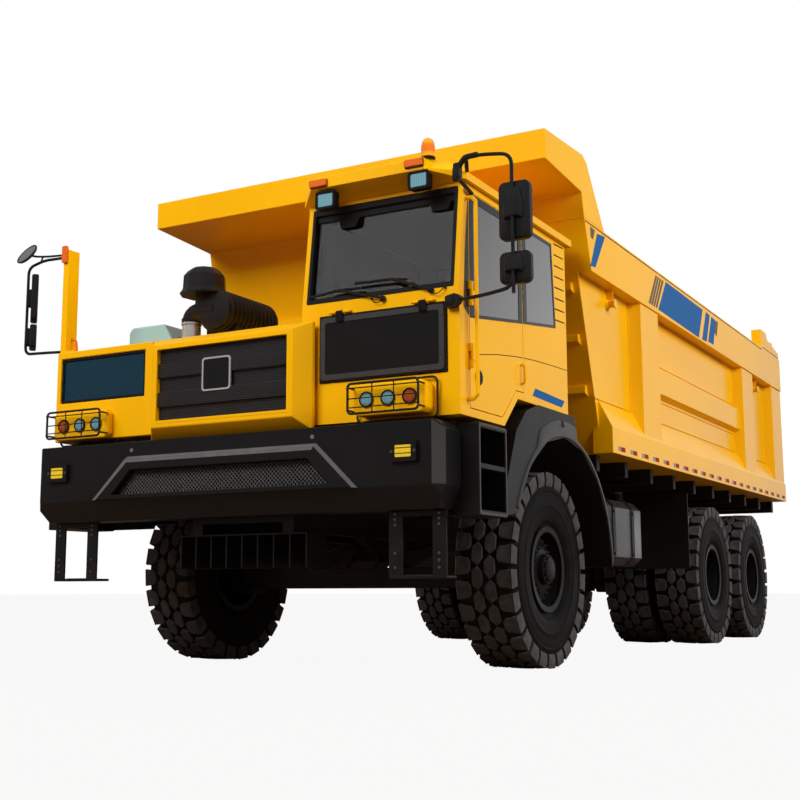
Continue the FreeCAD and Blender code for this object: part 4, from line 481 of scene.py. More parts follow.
# Undercarriage: welded frame rails, axle castings, leaf packs, gearbox and shafts.
# All of it is chassis black over cast and pressed steel, dulled and a little dusty low down.
iron = Finish("chassis_black")
iron_cast = iron.noise(90.0, 4.0)
iron_patch = iron.noise(3.0, 3.0)
iron_dust = (1 - iron.z.step(0.2, 1.3)) * iron_patch.step(0.35, 0.75)
iron.paint(
    Base_Color=iron.mix(iron_dust * 0.5, (0.0022, 0.0022, 0.0026), (0.008, 0.0078, 0.0075)),
    Roughness=iron_patch * 0.2 + 0.42,
    Normal=iron.bump(iron_cast, 0.002, 0.35),
)
for node, edge in (
    ("chassis_frame", 0.006), ("axles", 0.006), ("springs", 0.0), ("engine_block", 0.012),
    ("propeller_shafts", 0.0), ("steering_knuckle_left", 0.005), ("steering_knuckle_right", 0.005),
    ("hoist_pins", 0.003), ("bed_underframe", 0.005), ("hoist_barrels", 0.003),
):
    dressed(node, iron, edge)

# Wheels: earthmover tyres on dark five-piece rims. Each tyre is a ribbed carcass that carries
# four staggered rows of six-sided blocks; each rim is turned from rings and bolted to its hub.
tyre_radius = 0.81
tyre_half = 0.245
tread_floor = 0.782
pitches = 26

# Where the wheels stand, and how far a rim's disc lies from the middle of its tyre.
front_axle = -3.0975
rear_axles = (2.0725, 4.0225)
outer_wheel = 1.575
inner_wheel = 0.965
dish = 0.108

rubber = Finish("tyre_rubber")
rubber_grain = rubber.noise(260.0, 3.0)
rubber_scuff = rubber.noise(9.0, 4.0)
rubber.paint(
    Base_Color=rubber.mix(rubber_scuff.step(0.4, 0.75), (0.003, 0.003, 0.0034), (0.009, 0.009, 0.009)),
    Roughness=rubber_scuff * 0.22 + 0.52,
    Normal=rubber.bump(rubber_grain, 0.0012, 0.4),
    Specular_IOR_Level=0.22,
)

carcass_half = [
    (0.196, 0.33), (0.196, 0.362), (0.205, 0.385), (0.222, 0.405), (0.226, 0.408), (0.226, 0.416),
    (0.232, 0.424), (0.2395, 0.47), (0.2425, 0.52), (0.2445, 0.524), (0.2445, 0.532), (0.2425, 0.536),
    (0.2435, 0.585), (0.244, 0.61), (0.24, 0.64), (0.244, 0.646), (0.2445, 0.655), (0.24, 0.662),
    (0.234, 0.7), (0.226, 0.735), (0.214, 0.762), (0.198, 0.778), (0.175, tread_floor),
    (0.08, tread_floor + 0.004), (0.0, tread_floor + 0.005),
]
carcass = np.array(carcass_half + [(-a, r) for a, r in carcass_half[-2::-1]])


def crown(across):
    """Tread height over the width: flat in the middle and falling with the square of the rest."""
    return tyre_radius - 0.0015 - 0.01 * (np.abs(across) / tyre_half) ** 2


def tread_blocks(outlines):
    """Blocks standing on the carcass, one per pitch: each outline corner (across, share of a pitch)
    goes to (across, r cos a, r sin a), with r at the foot, the wall's top and the inset crown."""
    made = []
    for offset, outline in outlines:
        outline = np.array(outline, float)
        middle = outline.mean(axis=0)
        rings = []
        for inset, lift in ((1.0, None), (1.0, 0.0045), (0.9, 0.0)):
            flat = middle + (outline - middle) * inset
            if lift is None:
                radius = np.full(len(flat), tread_floor - 0.01)
            else:
                radius = crown(flat[:, 0]) - lift
            angle = 2 * np.pi * (flat[None, :, 1] + offset + np.arange(pitches)[:, None]) / pitches
            across = np.broadcast_to(flat[None, :, 0], angle.shape)
            rings.append(np.stack([across, radius * np.cos(angle), radius * np.sin(angle)], axis=-1))
        made.append(np.concatenate(rings, axis=1))
    return made


def ring_faces(count, rings):
    """Faces of a block of rings of count corners, open at its foot and closed at its top."""
    faces = []
    for ring in range(rings - 1):
        low = ring * count
        for corner in range(count):
            after = (corner + 1) % count
            faces.append([low + corner, low + after, low + count + after, low + count + corner])
    faces.append([(rings - 1) * count + corner for corner in range(count)])
    return faces


shoulder_block = [(0.1345, 0.1), (0.113, 0.26), (0.113, 0.6), (0.1345, 0.76), (0.24, 0.83), (0.24, 0.03)]
middle_block = [(0.007, 0.22), (0.007, 0.66), (0.053, 0.92), (0.1, 0.74), (0.1, 0.14), (0.053, -0.04)]
# Tread blocks: the same rubber as the carcass in a much lighter tone, partly scuffing and partly painted
# sheen standing in for the highlights on the tread.
tread_rubber_painted_sheen = Finish("tread_rubber_painted_sheen")
tread_scuff_and_sheen = tread_rubber_painted_sheen.noise(16.0, 5.0)
tread_rubber_painted_sheen.paint(
    Base_Color=tread_rubber_painted_sheen.mix(tread_scuff_and_sheen.step(0.3, 0.75), (0.048, 0.049, 0.051), (0.085, 0.086, 0.088)),
    Roughness=tread_scuff_and_sheen * 0.2 + 0.5,
    Normal=tread_rubber_painted_sheen.bump(tread_rubber_painted_sheen.noise(220.0), 0.0014, 0.5),
    Specular_IOR_Level=0.3,
)
block_rows = [(0.0, shoulder_block), (0.5, middle_block)]
left_rows = [(offset + 0.44, [(-a, t) for a, t in outline]) for offset, outline in block_rows]
block_points = tread_blocks(block_rows + left_rows)
lug_profile = [(0.24, 0.806), (0.2452, 0.772), (0.2452, 0.722), (0.238, 0.69), (0.23, 0.735), (0.22, 0.775)]


def shoulder_lugs(sign, offset):
    """Wedges under the shoulder blocks that run down the sidewall to a chamfered foot."""
    profile = np.array(lug_profile)
    ends = []
    for share in (0.05, 0.81):
        angle = 2 * np.pi * (share + offset + np.arange(pitches)[:, None]) / pitches
        across = np.broadcast_to(sign * profile[None, :, 0], (pitches, len(profile)))
        radius = profile[None, :, 1]
        ends.append(np.stack([across, radius * np.cos(angle), radius * np.sin(angle)], axis=-1))
    return np.concatenate(ends, axis=1)


def lug_faces(count):
    """Faces of a bar between two outlines of count corners."""
    faces = [[c, (c + 1) % count, count + (c + 1) % count, count + c] for c in range(count)]
    faces.append(list(range(count))[::-1])
    faces.append([count + c for c in range(count)])
    return faces


def add_tyre(shape, tread, centre, turn_share):
    """One tyre: its carcass turned about the axle, with its blocks and shoulder lugs."""
    angle = turn_share * 2 * math.pi / pitches
    spin = np.array([(1, 0, 0), (0, math.cos(angle), -math.sin(angle)),
                     (0, math.sin(angle), math.cos(angle))])
    centre = np.array(centre)
    shape.lathe(carcass, centre, "x", 104)
    for points in block_points:
        count = points.shape[1] // 3
        tread.copies(points @ spin.T + centre, ring_faces(count, 3))
    for sign, offset in ((1, 0.0), (-1, 0.44)):
        points = shoulder_lugs(sign, offset)
        tread.copies(points @ spin.T + centre, lug_faces(len(lug_profile)))


wheel_steel = Finish("wheel_grey")
wheel_patch = wheel_steel.noise(14.0, 3.0)
wheel_steel.paint(
    Base_Color=wheel_steel.mix(wheel_patch, (0.004, 0.004, 0.0045), (0.009, 0.009, 0.0095)),
    Specular_IOR_Level=0.3,
    Roughness=wheel_patch * 0.18 + 0.34,
    Normal=wheel_steel.bump(wheel_steel.noise(300.0, 2.0), 0.0006, 0.3),
)
bolt_steel = two_tone("bolt_steel", 60.0, (0.14, 0.14, 0.14), (0.24, 0.235, 0.23), (35.0, 0.2, 0.3),
                      Metallic=0.9)


def bolts(shape, centre, count, circle_radius, bolt_radius, length, sign, phase=0.0):
    """Six-sided nuts with domed studs on a circle: each is a hexagon carried along the axle."""
    angle = 2 * np.pi * (np.arange(count) + phase) / count
    hexagon = 2 * np.pi * np.arange(6) / 6
    rows = []
    for along, size in ((0.0, 1.0), (length * 0.8, 1.0), (length, 0.82), (length, 0.5),
                        (length * 1.7, 0.42)):
        y = circle_radius * np.cos(angle)[:, None] + bolt_radius * size * np.cos(hexagon)
        z = circle_radius * np.sin(angle)[:, None] + bolt_radius * size * np.sin(hexagon)
        rows.append(np.stack([np.full_like(y, sign * along), y, z], axis=-1))
    shape.copies(np.concatenate(rows, axis=1) + np.array(centre), ring_faces(6, 5))


def add_rim(shape, nuts, centre, sign, disc):
    """One rim in its tyre: flange, lock ring, drop centre and a dished disc, turned as one wall."""
    profile = [
        (0.219, 0.306), (0.2225, 0.352), (0.216, 0.357), (0.207, 0.354), (0.204, 0.346), (0.2015, 0.332),
        (0.196, 0.3295), (-0.196, 0.3295), (-0.2015, 0.332), (-0.204, 0.346), (-0.207, 0.354),
        (-0.216, 0.357), (-0.2225, 0.352), (-0.219, 0.306), (-0.15, 0.3), (disc - 0.026, 0.296),
        (disc - 0.022, 0.15), (disc - 0.018, 0.0), (disc + 0.01, 0.0), (disc + 0.01, 0.215),
        (disc + 0.02, 0.228), (disc + 0.02, 0.262), (disc + 0.01, 0.276), (disc + 0.004, 0.29),
        (0.15, 0.297), (0.176, 0.3), (0.178, 0.315), (0.186, 0.317), (0.19, 0.308),
    ]
    ordered = [(a * sign, r) for a, r in profile]
    shape.lathe(ordered, centre, "x", 96)
    face = np.array(centre) + (sign * (disc + 0.02), 0.0, 0.0)
    bolts(nuts, face, 20, 0.245, 0.0135, 0.016, sign)


def add_hub(shape, centre, sign, start, steps):
    """Turned hub: steps are (distance from start, radius) going outwards from the disc."""
    profile = [(sign * (start + a), r) for a, r in [(0.0, 0.0)] + steps + [(steps[-1][0], 0.0)]]
    shape.lathe(profile, centre, "x", 64)


front_steps = [
    (0.0, 0.195), (0.03, 0.19), (0.036, 0.172), (0.05, 0.168), (0.06, 0.128), (0.102, 0.122),
    (0.106, 0.104), (0.124, 0.1), (0.13, 0.088),
]
rear_steps = [
    (0.0, 0.215), (0.06, 0.21), (0.07, 0.185), (0.09, 0.18), (0.1, 0.112), (0.12, 0.104), (0.126, 0.09),
]
wheel_places = []
for side, word in ((1, "left"), (-1, "right")):
    wheel_places.append(("front_" + word, "front_wheel_" + word, ["front_tyre_" + word],
                         ["front_rim_" + word], front_axle, [(outer_wheel * side, side, dish, "front")]))
for number, y in enumerate(rear_axles, 1):
    for side, word in ((1, "left"), (-1, "right")):
        tag = "%d_%s" % (number, word)
        wheel_places.append(("rear_" + tag, "rear_wheel_" + tag, ["rear_tyres_" + tag],
                             ["rear_rims_" + tag], y,
                             [(outer_wheel * side, side, -dish, "rear"),
                              (inner_wheel * side, side, dish, "inner")]))
for order, (tag, body, tyre_nodes, rim_nodes, y, wheels) in enumerate(wheel_places):
    tyres, treads, rims, nuts = Shape(), Shape(), Shape(), Shape()
    for x, side, disc, kind in wheels:
        centre = (x, y, tyre_radius)
        add_tyre(tyres, treads, centre, 0.37 * order + (0.21 if kind == "inner" else 0.0))
        add_rim(rims, nuts, centre, side, disc)
        if kind == "front":
            add_hub(rims, centre, side, disc + 0.008, front_steps)
            bolts(nuts, (x + side * (disc + 0.038), y, tyre_radius), 16, 0.18, 0.01, 0.014, side, 0.5)
            bolts(nuts, (x + side * (disc + 0.114), y, tyre_radius), 10, 0.112, 0.007, 0.01, side)
        elif kind == "rear":
            add_hub(rims, centre, side, disc + 0.008, rear_steps)
            bolts(nuts, (x + side * (disc + 0.068), y, tyre_radius), 18, 0.197, 0.009, 0.013, side, 0.5)
        else:
            drum_start = x + side * (disc - 0.02)
            drum_end = outer_wheel * side + side * -dish
            drum_low, drum_high = sorted((drum_start, drum_end))
            drum = [(drum_low, 0.0), (drum_low, 0.19), (drum_high, 0.19), (drum_high, 0.0)]
            rims.lathe(drum, (0, y, tyre_radius), "x", 48)
    tyre = tyres.make("tyre_" + tag, rubber, body, smooth=28)
    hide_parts(*tyre_nodes)
    treads.make("tread_" + tag, tread_rubber_painted_sheen, body, smooth=28)
    rim = rims.make("rim_" + tag, wheel_steel, body, smooth=30)
    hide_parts(*rim_nodes)
    nut = nuts.make("nuts_" + tag, bolt_steel, body, smooth=30)

# Load body: welded plate in yellow machine enamel, with a boxed top band, raked ribs, a sloped
# foot and a bottom rail. The enamel is new: a clear coat over it has a slight orange peel.
yellow = Finish("machine_yellow")
yellow_wave = yellow.noise(1.6, 2.0)
yellow_peel = yellow.noise(160.0, 2.0)
yellow_patch = yellow.noise(0.9, 4.0)
yellow_dust = (1 - yellow.z.step(1.2, 2.3)) * yellow.noise(5.0, 5.0).step(0.45, 0.8)
yellow_tint = yellow.mix(yellow_patch.step(0.3, 0.7), (0.91, 0.465, 0.0002), (0.95, 0.5, 0.0003))
yellow.paint(
    Base_Color=yellow.mix(yellow_dust * 0.25, yellow_tint, (0.62, 0.33, 0.04)),
    Roughness=yellow_patch * 0.1 + 0.3,
    Coat_Weight=yellow_patch * 0.1 + 0.1,
    Normal=yellow.bump(yellow_peel, 0.0005, 0.2, yellow.bump(yellow_wave, 0.008, 0.3)),
    Coat_Roughness=0.08,
    Specular_IOR_Level=0.25,
)
for node, edge in (("bed_tub", 0.008), ("bed_canopy", 0.008), ("tailgate", 0.008)):
    dressed(node, yellow, edge, 15)

# Weld beads along the body's ribs and band: laid by hand in the corner, then painted over,
# each a thin round bead between two stations and two heights on the side wall.
weld = Shape()
side_wall = 1.923
for a, b, low, high in (
    (4.016, 4.016, 2.36, 3.43), (4.654, 4.654, 2.36, 3.43), (8.126, 8.126, 2.36, 3.43),
    (8.764, 8.764, 2.36, 3.43), (9.806, 9.806, 2.36, 3.43), (2.66, 4.02, 3.438, 3.438),
    (4.68, 8.12, 3.438, 3.438), (8.78, 9.81, 3.438, 3.438), (3.0, 4.02, 2.355, 2.355),
    (4.68, 8.12, 2.355, 2.355), (8.78, 9.81, 2.355, 2.355), (4.66, 8.12, 2.574, 2.574),
    (4.66, 8.12, 2.952, 2.952),
):
    weld.tube([(side_wall, y_of(a), low), (side_wall, y_of(b), high)], 0.007, 6)
weld.mirror().make("bed_welds", yellow, "bed", smooth=60)

# Band decals: thin vinyl in blue and brown-grey, cut on the slant and stuck on both sides of
# the band. They stand a little proud of it, so their cut edges show.
band_face = 2.046
blue_vinyl = two_tone("blue_vinyl", 4.0, (0.004, 0.09, 0.3), (0.008, 0.125, 0.36), (30.0, 0.1, 0.45),
                      (90.0, 0.0004, 0.3), Specular_IOR_Level=0.12)
grey_vinyl = two_tone("grey_vinyl", 4.0, (0.1, 0.075, 0.05), (0.16, 0.12, 0.085), (30.0, 0.1, 0.45),
                      (90.0, 0.0004, 0.3), Specular_IOR_Level=0.15)
blue_marks = [
    [(2.642, 3.481), (2.771, 3.495), (3.052, 3.85), (2.836, 3.823)],
    [(4.631, 3.483), (6.149, 3.46), (6.358, 3.826), (4.93, 3.839)],
    [(6.285, 3.464), (6.481, 3.473), (6.667, 3.818), (6.498, 3.829)],
    [(6.548, 3.485), (6.788, 3.488), (6.918, 3.806), (6.734, 3.818)],
]
grey_marks = [
    [(2.663, 3.751), (2.729, 3.741), (2.781, 3.841), (2.659, 3.848)],
    [(4.308, 3.487), (4.371, 3.486), (4.628, 3.83), (4.576, 3.83)],
    [(4.386, 3.487), (4.443, 3.486), (4.694, 3.83), (4.643, 3.83)],
    [(4.465, 3.487), (4.515, 3.486), (4.769, 3.83), (4.717, 3.83)],
    [(4.536, 3.487), (4.587, 3.486), (4.852, 3.83), (4.792, 3.83)],
    [(6.852, 3.644), (6.946, 3.616), (7.038, 3.811), (6.917, 3.801)],
]
for name, finish, marks in (("blue_stripes", blue_vinyl, blue_marks),
                            ("grey_stripes", grey_vinyl, grey_marks)):
    shape = Shape()
    for mark in marks:
        shape.slab(LEFT, mark, band_face, band_face + 0.0048)
    shape.mirror().make(name, finish, "bed")

# Reflective tape along the body's foot: red and white squares in turn, pressed onto the rail.
tape_red = two_tone("tape_red", 200.0, (0.26, 0.002, 0.002), (0.38, 0.005, 0.003), (60.0, 0.2, 0.4),
                    Specular_IOR_Level=0.1)
tape_white = two_tone("tape_white", 200.0, (0.15, 0.24, 0.3), (0.24, 0.34, 0.42), (60.0, 0.2, 0.4),
                      Specular_IOR_Level=0.1)
tape_pitch = 0.345
for name, finish, start, run in (("red_tape", tape_red, 3.32, 0.12),
                                 ("white_tape", tape_white, 3.245, 0.065)):
    shape = Shape()
    for number in range(21):
        a = start + tape_pitch * number
        shape.slab(LEFT, rectangle((a, 1.89), (a + run, 1.932), 0.004, 3), band_face, band_face + 0.0047)
    shape.mirror().make(name, finish, "bed")

# Body fittings: lifting horns below the band, the hook on the front corner and the ridged hinge castings at
# the rear, all welded on;
# under the top rail, a dark strip of painted shade stands for the seam.
# Dark orange-brown painted shade, used for the seam under the top rail, the cab's air slits and the crease
# line.
painted_seam_shade = two_tone("seam_shadow", 20.0, (0.02, 0.006, 0.001), (0.05, 0.016, 0.002), (20.0, 0.2, 0.6))
seams = Shape()
seam_height = band_face + 0.0046
seams.slab(LEFT, [(2.535, 3.862), (9.33, 3.862), (9.33, 3.873), (2.53, 3.873)], band_face, seam_height)
seams.slab(LEFT, rectangle((9.4, 3.905), (10.37, 3.915)), band_face, seam_height)
seams.mirror().make("band_seam_shade", painted_seam_shade, "bed")
fittings = Shape()
for station, z in ((3.42, 3.3), (9.2, 3.3)):
    fittings.lathe([(1.915, 0.0), (1.915, 0.06), (1.93, 0.052), (1.945, 0.034), (1.99, 0.032),
                    (1.996, 0.046), (2.008, 0.046), (2.012, 0.0)], (0, y_of(station), z), "x", 24)
    fittings.box((1.915, y_of(station) - 0.006, z + 0.04), (1.985, y_of(station) + 0.006, 3.445))
fittings.tube([(1.985, y_of(2.56), 3.885), (1.985, y_of(2.56), 3.955), (1.985, y_of(2.66), 3.955),
               (1.985, y_of(2.66), 3.885)], 0.012, 8, 0.03)
for station in (9.42, 9.6):
    fittings.slab(LEFT, rectangle((station, 3.885), (station + 0.02, 4.12)), 2.03, 2.0505)
fittings.lathe([(1.93, 0.0), (1.93, 0.055), (band_face, 0.055), (2.048, 0.035), (2.048, 0.0)],
               (0, y_of(9.98), 4.02), "x", 28)
fittings.mirror().make("bed_fittings", yellow, "bed", 0.003)

# Hoist stages and rods: ground steel tubes, chromed and lightly oiled, that slide in one
# another out of the black barrels.
chrome = Finish("hard_chrome")
chrome_wear = chrome.noise(30.0, 3.0, (1.0, 1.0, 0.1))
chrome.paint(
    Base_Color=chrome.mix(chrome_wear, (0.42, 0.42, 0.43), (0.55, 0.55, 0.56)),
    Roughness=chrome_wear * 0.15 + 0.14,
    Normal=chrome.bump(chrome.noise(400.0, 2.0, (1.0, 1.0, 0.2)), 0.0002, 0.4),
    Metallic=1.0,
)
hoist_x = 0.6
for stage, radius, low, high in (("hoist_stage_1", 0.0865, 0.752, 1.68),
                                 ("hoist_stage_2", 0.073, 0.766, 1.694)):
    tubes = Shape()
    for side in (1, -1):
        wall = [(low, radius - 0.0125), (low, radius), (high - 0.004, radius), (high, radius - 0.003),
                (high, radius - 0.0125)]
        tubes.lathe(wall, (hoist_x * side, y_of(6.75), 0), "z", 40)
    piece = tubes.make(stage + "_tubes", chrome, cad_nodes[stage]["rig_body"])
    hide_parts(stage)
dressed("hoist_rods", chrome, 0.002)

# Charcoal coat: the satin paint of bumper, fenders, steps, tanks and lamp guards, laid over
# pressed and folded steel. It is fine-grained, a little uneven and dusty towards the ground.
charcoal = Finish("charcoal_coat")
charcoal_patch = charcoal.noise(2.5, 3.0)
charcoal_dust = (1 - charcoal.z.step(0.6, 1.7)) * charcoal.noise(7.0, 5.0).step(0.4, 0.8)
charcoal_tint = charcoal.mix(charcoal_patch, (0.0055, 0.0055, 0.006), (0.0085, 0.0085, 0.009))
charcoal.paint(
    Base_Color=charcoal.mix(charcoal_dust * 0.35, charcoal_tint, (0.026, 0.024, 0.021)),
    Roughness=charcoal_patch * 0.12 + 0.36,
    Normal=charcoal.bump(charcoal.noise(420.0), 0.0006, 0.4,
                         charcoal.bump(charcoal.noise(3.0), 0.003, 0.3)),
    Specular_IOR_Level=0.35,
)
dressed("underbody_fins", charcoal, 0.003)
edge_grey = two_tone("edge_grey", 6.0, (0.034, 0.034, 0.035), (0.05, 0.05, 0.052), (12.0, 0.14, 0.34),
                     (380.0, 0.0005, 0.4))

# Bumper: a folded steel box with an undercut, chamfered ends and a raised middle panel whose
# pocket holds a woven guard; bolted to the frame rails, with lamps let into its ends.
dressed("bumper", charcoal, 0.01, 30, 3)
# A light grey that stands in for the highlight along the bumper panel's chamfered edge (painted highlight);
# the guard's wires and the pins above the panel are painted in it too.
painted_highlight_grey = two_tone("painted_highlight_grey", 14.0, (0.095, 0.095, 0.098), (0.17, 0.17, 0.175), (14.0, 0.15, 0.3),
                     (380.0, 0.0005, 0.4), detail=5.0)
trim, ends = Shape(), Shape()
CHAMFER = ((1.82, bumper_front, 0), (0.689, 0.725, 0), (0, 0, 1))
ends.slab(CHAMFER, [(0.003, 1.365), (0.107, 1.365), (0.107, 1.752), (0.003, 1.81)], -0.002, 0.0012)
ends.mirror().make("bumper_ends", edge_grey, "chassis")
panel_back = [(1.234, 1.36), (0.885, 1.696), (-0.885, 1.696), (-1.234, 1.36)]
panel_front = [(1.209, 1.36), (0.886, 1.671), (-0.886, 1.671), (-1.209, 1.36)]
rows = []
for (a, b), (c, d) in zip(panel_back, panel_front):
    rows.append([(a, 5.2265, b), (a * 1.001, 5.229, b * 1.0008), (c, 5.2722, d + 0.001),
                 (c, 5.2705, d - 0.001)])
trim.grid(np.array(rows) * (1, -1, 1))
trim.slab(FRONT, [(-1.209, 1.36), (-1.178, 1.36), (-0.868, 1.646), (0.868, 1.646), (0.886, 1.671),
                  (-0.886, 1.671)], 5.2705, 5.2732)
trim.make("bumper_trim", painted_highlight_grey, "chassis")
wires = Shape()
low_u, high_u, low_v, high_v = -1.014, 1.014, 1.3967, 1.586
level_half = 0.83
mesh_pitch = 0.034


def inside_pocket(u):
    """Top of the pocket over x: level in the middle, falling along the diagonal ends."""
    beyond = max(abs(u) - level_half, 0.0)
    return high_v - beyond * (high_v - low_v) / (high_u - level_half)


for slope in (1, -1):
    for number in range(-12, 74):
        start = low_u - 0.2 + number * mesh_pitch
        reach = np.arange(0.0, (high_v - low_v) + 0.0005, 0.0015)
        line = np.column_stack([start + slope * reach, low_v + reach])
        held = line[[abs(u) < high_u and v < inside_pocket(u) for u, v in line]]
        if len(held) > 8:
            span = held[[0, -1]]
            depth = -5.2015 if slope > 0 else -5.205
            wires.tube([(u, depth, v) for u, v in span], 0.003, 6)
# The wires take the same light grey of painted highlight.
wires.make("bumper_mesh_wires", painted_highlight_grey, "chassis", smooth=60)

# Fog lamps: square black housings held by two screws each, with an amber-lit fluted lens of
# moulded plastic; the two small round pins above the panel hold its cover.
hole_black = two_tone("hole_black", 30.0, (0.003, 0.003, 0.003), (0.007, 0.007, 0.007), (30.0, 0.2, 0.4))
fog_lens = Finish("fog_lens")
fog_lens_rib = (fog_lens.z * 26.0).fract()
fog_lens.paint(
    Base_Color=fog_lens.mix(fog_lens_rib.over(0.22), (0.2, 0.1, 0.003), (0.9, 0.66, 0.012)),
    Roughness=fog_lens.noise(20.0) * 0.08 + 0.1,
    Coat_Weight=fog_lens.noise(5.0) * 0.2 + 0.7,
    Normal=fog_lens.bump(fog_lens_rib, 0.002, 0.5),
)
fog_frames, fog_glasses, screws = Shape(), Shape(), Shape()
for side in (1, -1):
    x = 1.615 * side
    fog_frames.border(FRONT, rectangle((x - 0.105, 1.524), (x + 0.105, 1.67), 0.008),
                      rectangle((x - 0.064, 1.555), (x + 0.064, 1.64), 0.01), 5.2265, 5.2625)
    fog_glasses.slab(FRONT, rectangle((x - 0.065, 1.554), (x + 0.065, 1.641), 0.01), 5.2265, 5.261)
    for place in (-0.09, 0.09):
        screws.lathe([(-5.266, 0.0), (-5.266, 0.009), (-5.2635, 0.012), (-5.256, 0.012), (-5.256, 0.0)],
                     (x + place, 0, 1.597), "y", 16)
fog_frames.make("fog_frames", hole_black, "chassis", 0.003)
fog_glasses.make("fog_lenses", fog_lens, "chassis", 0.004)
bumper_bolts = Shape()
for x in (0.851, -0.851):
    bumper_bolts.lathe([(bumper_front, 0.0), (bumper_front - 0.006, 0.016), (bumper_front + 0.01, 0.018),
                        (bumper_front + 0.01, 0.0)], (x, 0, 1.747), "y", 20)
screws.make("fog_screws", bolt_steel, "chassis", smooth=30)
bumper_bolts.make("bumper_pins", painted_highlight_grey, "chassis", smooth=30)

# Steps and ladders: folded boxes of grey-edged plate with a punched tread, and below each a
# ladder of two plates bolted through with bright screws, hanging clear of the ground.
dressed("steps", charcoal, 0.006, 30, 2)
step_parts, step_grip, step_bolts = Shape(), Shape(), Shape()
step_parts.border(LEFT, rectangle((0.325, 1.165), (0.795, 1.812), 0.02),
                  rectangle((0.345, 1.185), (0.775, 1.792), 0.014), 2.0295, 2.0335)
for row in range(6):
    for column in range(5):
        spot = (1.755 + 0.06 * column, y_of(0.36 + 0.08 * row), 0)
        step_grip.lathe([(1.8165, 0.0), (1.8165, 0.016), (1.822, 0.013), (1.822, 0.009), (1.8175, 0.006),
                         (1.8175, 0.0)], spot, "z", 14)
for x, heights in ((1.425, (0.8, 0.9, 1.1, 1.14, 1.18)), (1.775, (0.8, 0.85, 0.9, 1.1, 1.14, 1.18))):
    for z in heights:
        step_bolts.lathe([(y_of(0.2015), 0.0), (y_of(0.2015), 0.013), (y_of(0.194), 0.0115),
                          (y_of(0.19), 0.006), (y_of(0.19), 0.0)], (x, 0, z), "y", 12)
for number in range(3):
    step_parts.box((1.485, y_of(0.225 + 0.045 * number), 0.745),
                   (1.715, y_of(0.235 + 0.045 * number), 0.75))
step_parts.mirror().make("step_frames", edge_grey, "chassis", 0.002)
step_grip.mirror().make("step_treads", charcoal, "chassis", smooth=40)
step_bolts.mirror().make("ladder_bolts", bolt_steel, "chassis", smooth=40)

# Fenders: rolled sheet shells over the front wheels with a flared arc of moulded plastic along
# the outer edge and a ribbed crown; held by brackets from the frame, with lamps at the rear.
dressed("fenders", charcoal, 0.006, 24, 2)
arch_y, arch_z = y_of(2.13), 0.81
lip, ribs = Shape(), Shape()
turns = np.radians(np.linspace(-66, 86, 56))
rows = []
for turn in turns:
    front_room = 0.985 / max(math.sin(-turn) + 0.4 * math.cos(turn), 0.1)
    rise = 0.135 if turn < math.radians(14) else 0.036
    outer = min(1.085 + rise, max(front_room, 1.121))
    profile = [(1.955, 1.083), (1.974, 1.083), (1.979, 1.09), (1.979, outer - 0.014), (1.973, outer),
               (1.955, outer)]
    rows.append([(x, arch_y + r * math.sin(turn), arch_z + r * math.cos(turn)) for x, r in profile])
lip.grid(np.array(rows))
lip.mirror().make("fender_lips", edge_grey, "chassis", 0.0)
for station in (1.62, 1.79, 1.96, 2.13, 2.3):
    ribs.box((1.32, y_of(station), 2.098), (1.955, y_of(station) + 0.03, 2.106))
ribs.mirror().make("fender_ribs", charcoal, "chassis", 0.002)
marker_amber = Finish("amber_lens")
amber_ring = (marker_amber.z * 60.0).fract()
marker_amber.paint(
    Base_Color=marker_amber.mix(amber_ring.over(0.5), (0.85, 0.16, 0.004), (0.7, 0.11, 0.003)),
    Roughness=marker_amber.noise(20.0) * 0.08 + 0.12,
    Coat_Weight=marker_amber.noise(5.0) * 0.2 + 0.7,
    Normal=marker_amber.bump(amber_ring, 0.001, 0.4),
)
round_lamps, round_rims = Shape(), Shape()
spot = (0, y_of(2.07), 2.0)
round_lamps.lathe([(1.965, 0.0), (1.965, 0.022), (1.984, 0.021), (1.99, 0.012), (1.991, 0.0)],
                  spot, "x", 24)
round_rims.lathe([(1.965, 0.021), (1.965, 0.03), (1.98, 0.03), (1.983, 0.022)], spot, "x", 24)
round_lamps.mirror().make("fender_lamps", edge_grey, "chassis")
round_rims.mirror().make("fender_lamp_rims", hole_black, "chassis")

# Side tanks: pressed fuel and oil tanks under steel straps, filled through a screwed cap.
tank_grey = Finish("tank_grey")
front_strap = (0.036 - (tank_grey.y - y_of(3.8)).size()).step(0.0, 0.002)
back_strap = (0.036 - (tank_grey.y - y_of(4.35)).size()).step(0.0, 0.002)
bare_grey = tank_grey.mix(tank_grey.noise(3.0), (0.028, 0.028, 0.03), (0.055, 0.055, 0.058))
tank_grey.paint(
    Base_Color=tank_grey.mix(front_strap.most(back_strap), bare_grey, (0.003, 0.003, 0.003)),
    Roughness=tank_grey.noise(6.0) * 0.14 + 0.24,
    Metallic=0.4,
    Normal=tank_grey.bump(tank_grey.noise(2.5), 0.004, 0.4),
)
dressed("side_tanks", tank_grey, 0.012)
straps = Shape()
for station in (3.8, 4.35):
    straps.box((1.797, y_of(station) - 0.036, 0.945), (1.8005, y_of(station) + 0.036, 1.425))
    straps.box((1.16, y_of(station) - 0.036, 1.5065), (1.715, y_of(station) + 0.036, 1.5105))
straps.mirror().make("tank_straps", hole_black, "chassis")
tank_bits = Shape()
for station in (3.8, 4.35):
    for z in (0.98, 1.38):
        tank_bits.lathe([(1.796, 0.0), (1.796, 0.014), (1.812, 0.013), (1.812, 0.0)],
                        (0, y_of(station), z), "x", 6)
tank_bits.lathe([(1.585, 0.0), (1.585, 0.052), (1.594, 0.048), (1.6, 0.04), (1.6, 0.0)],
                (1.63, y_of(4.38), 0), "z", 32)
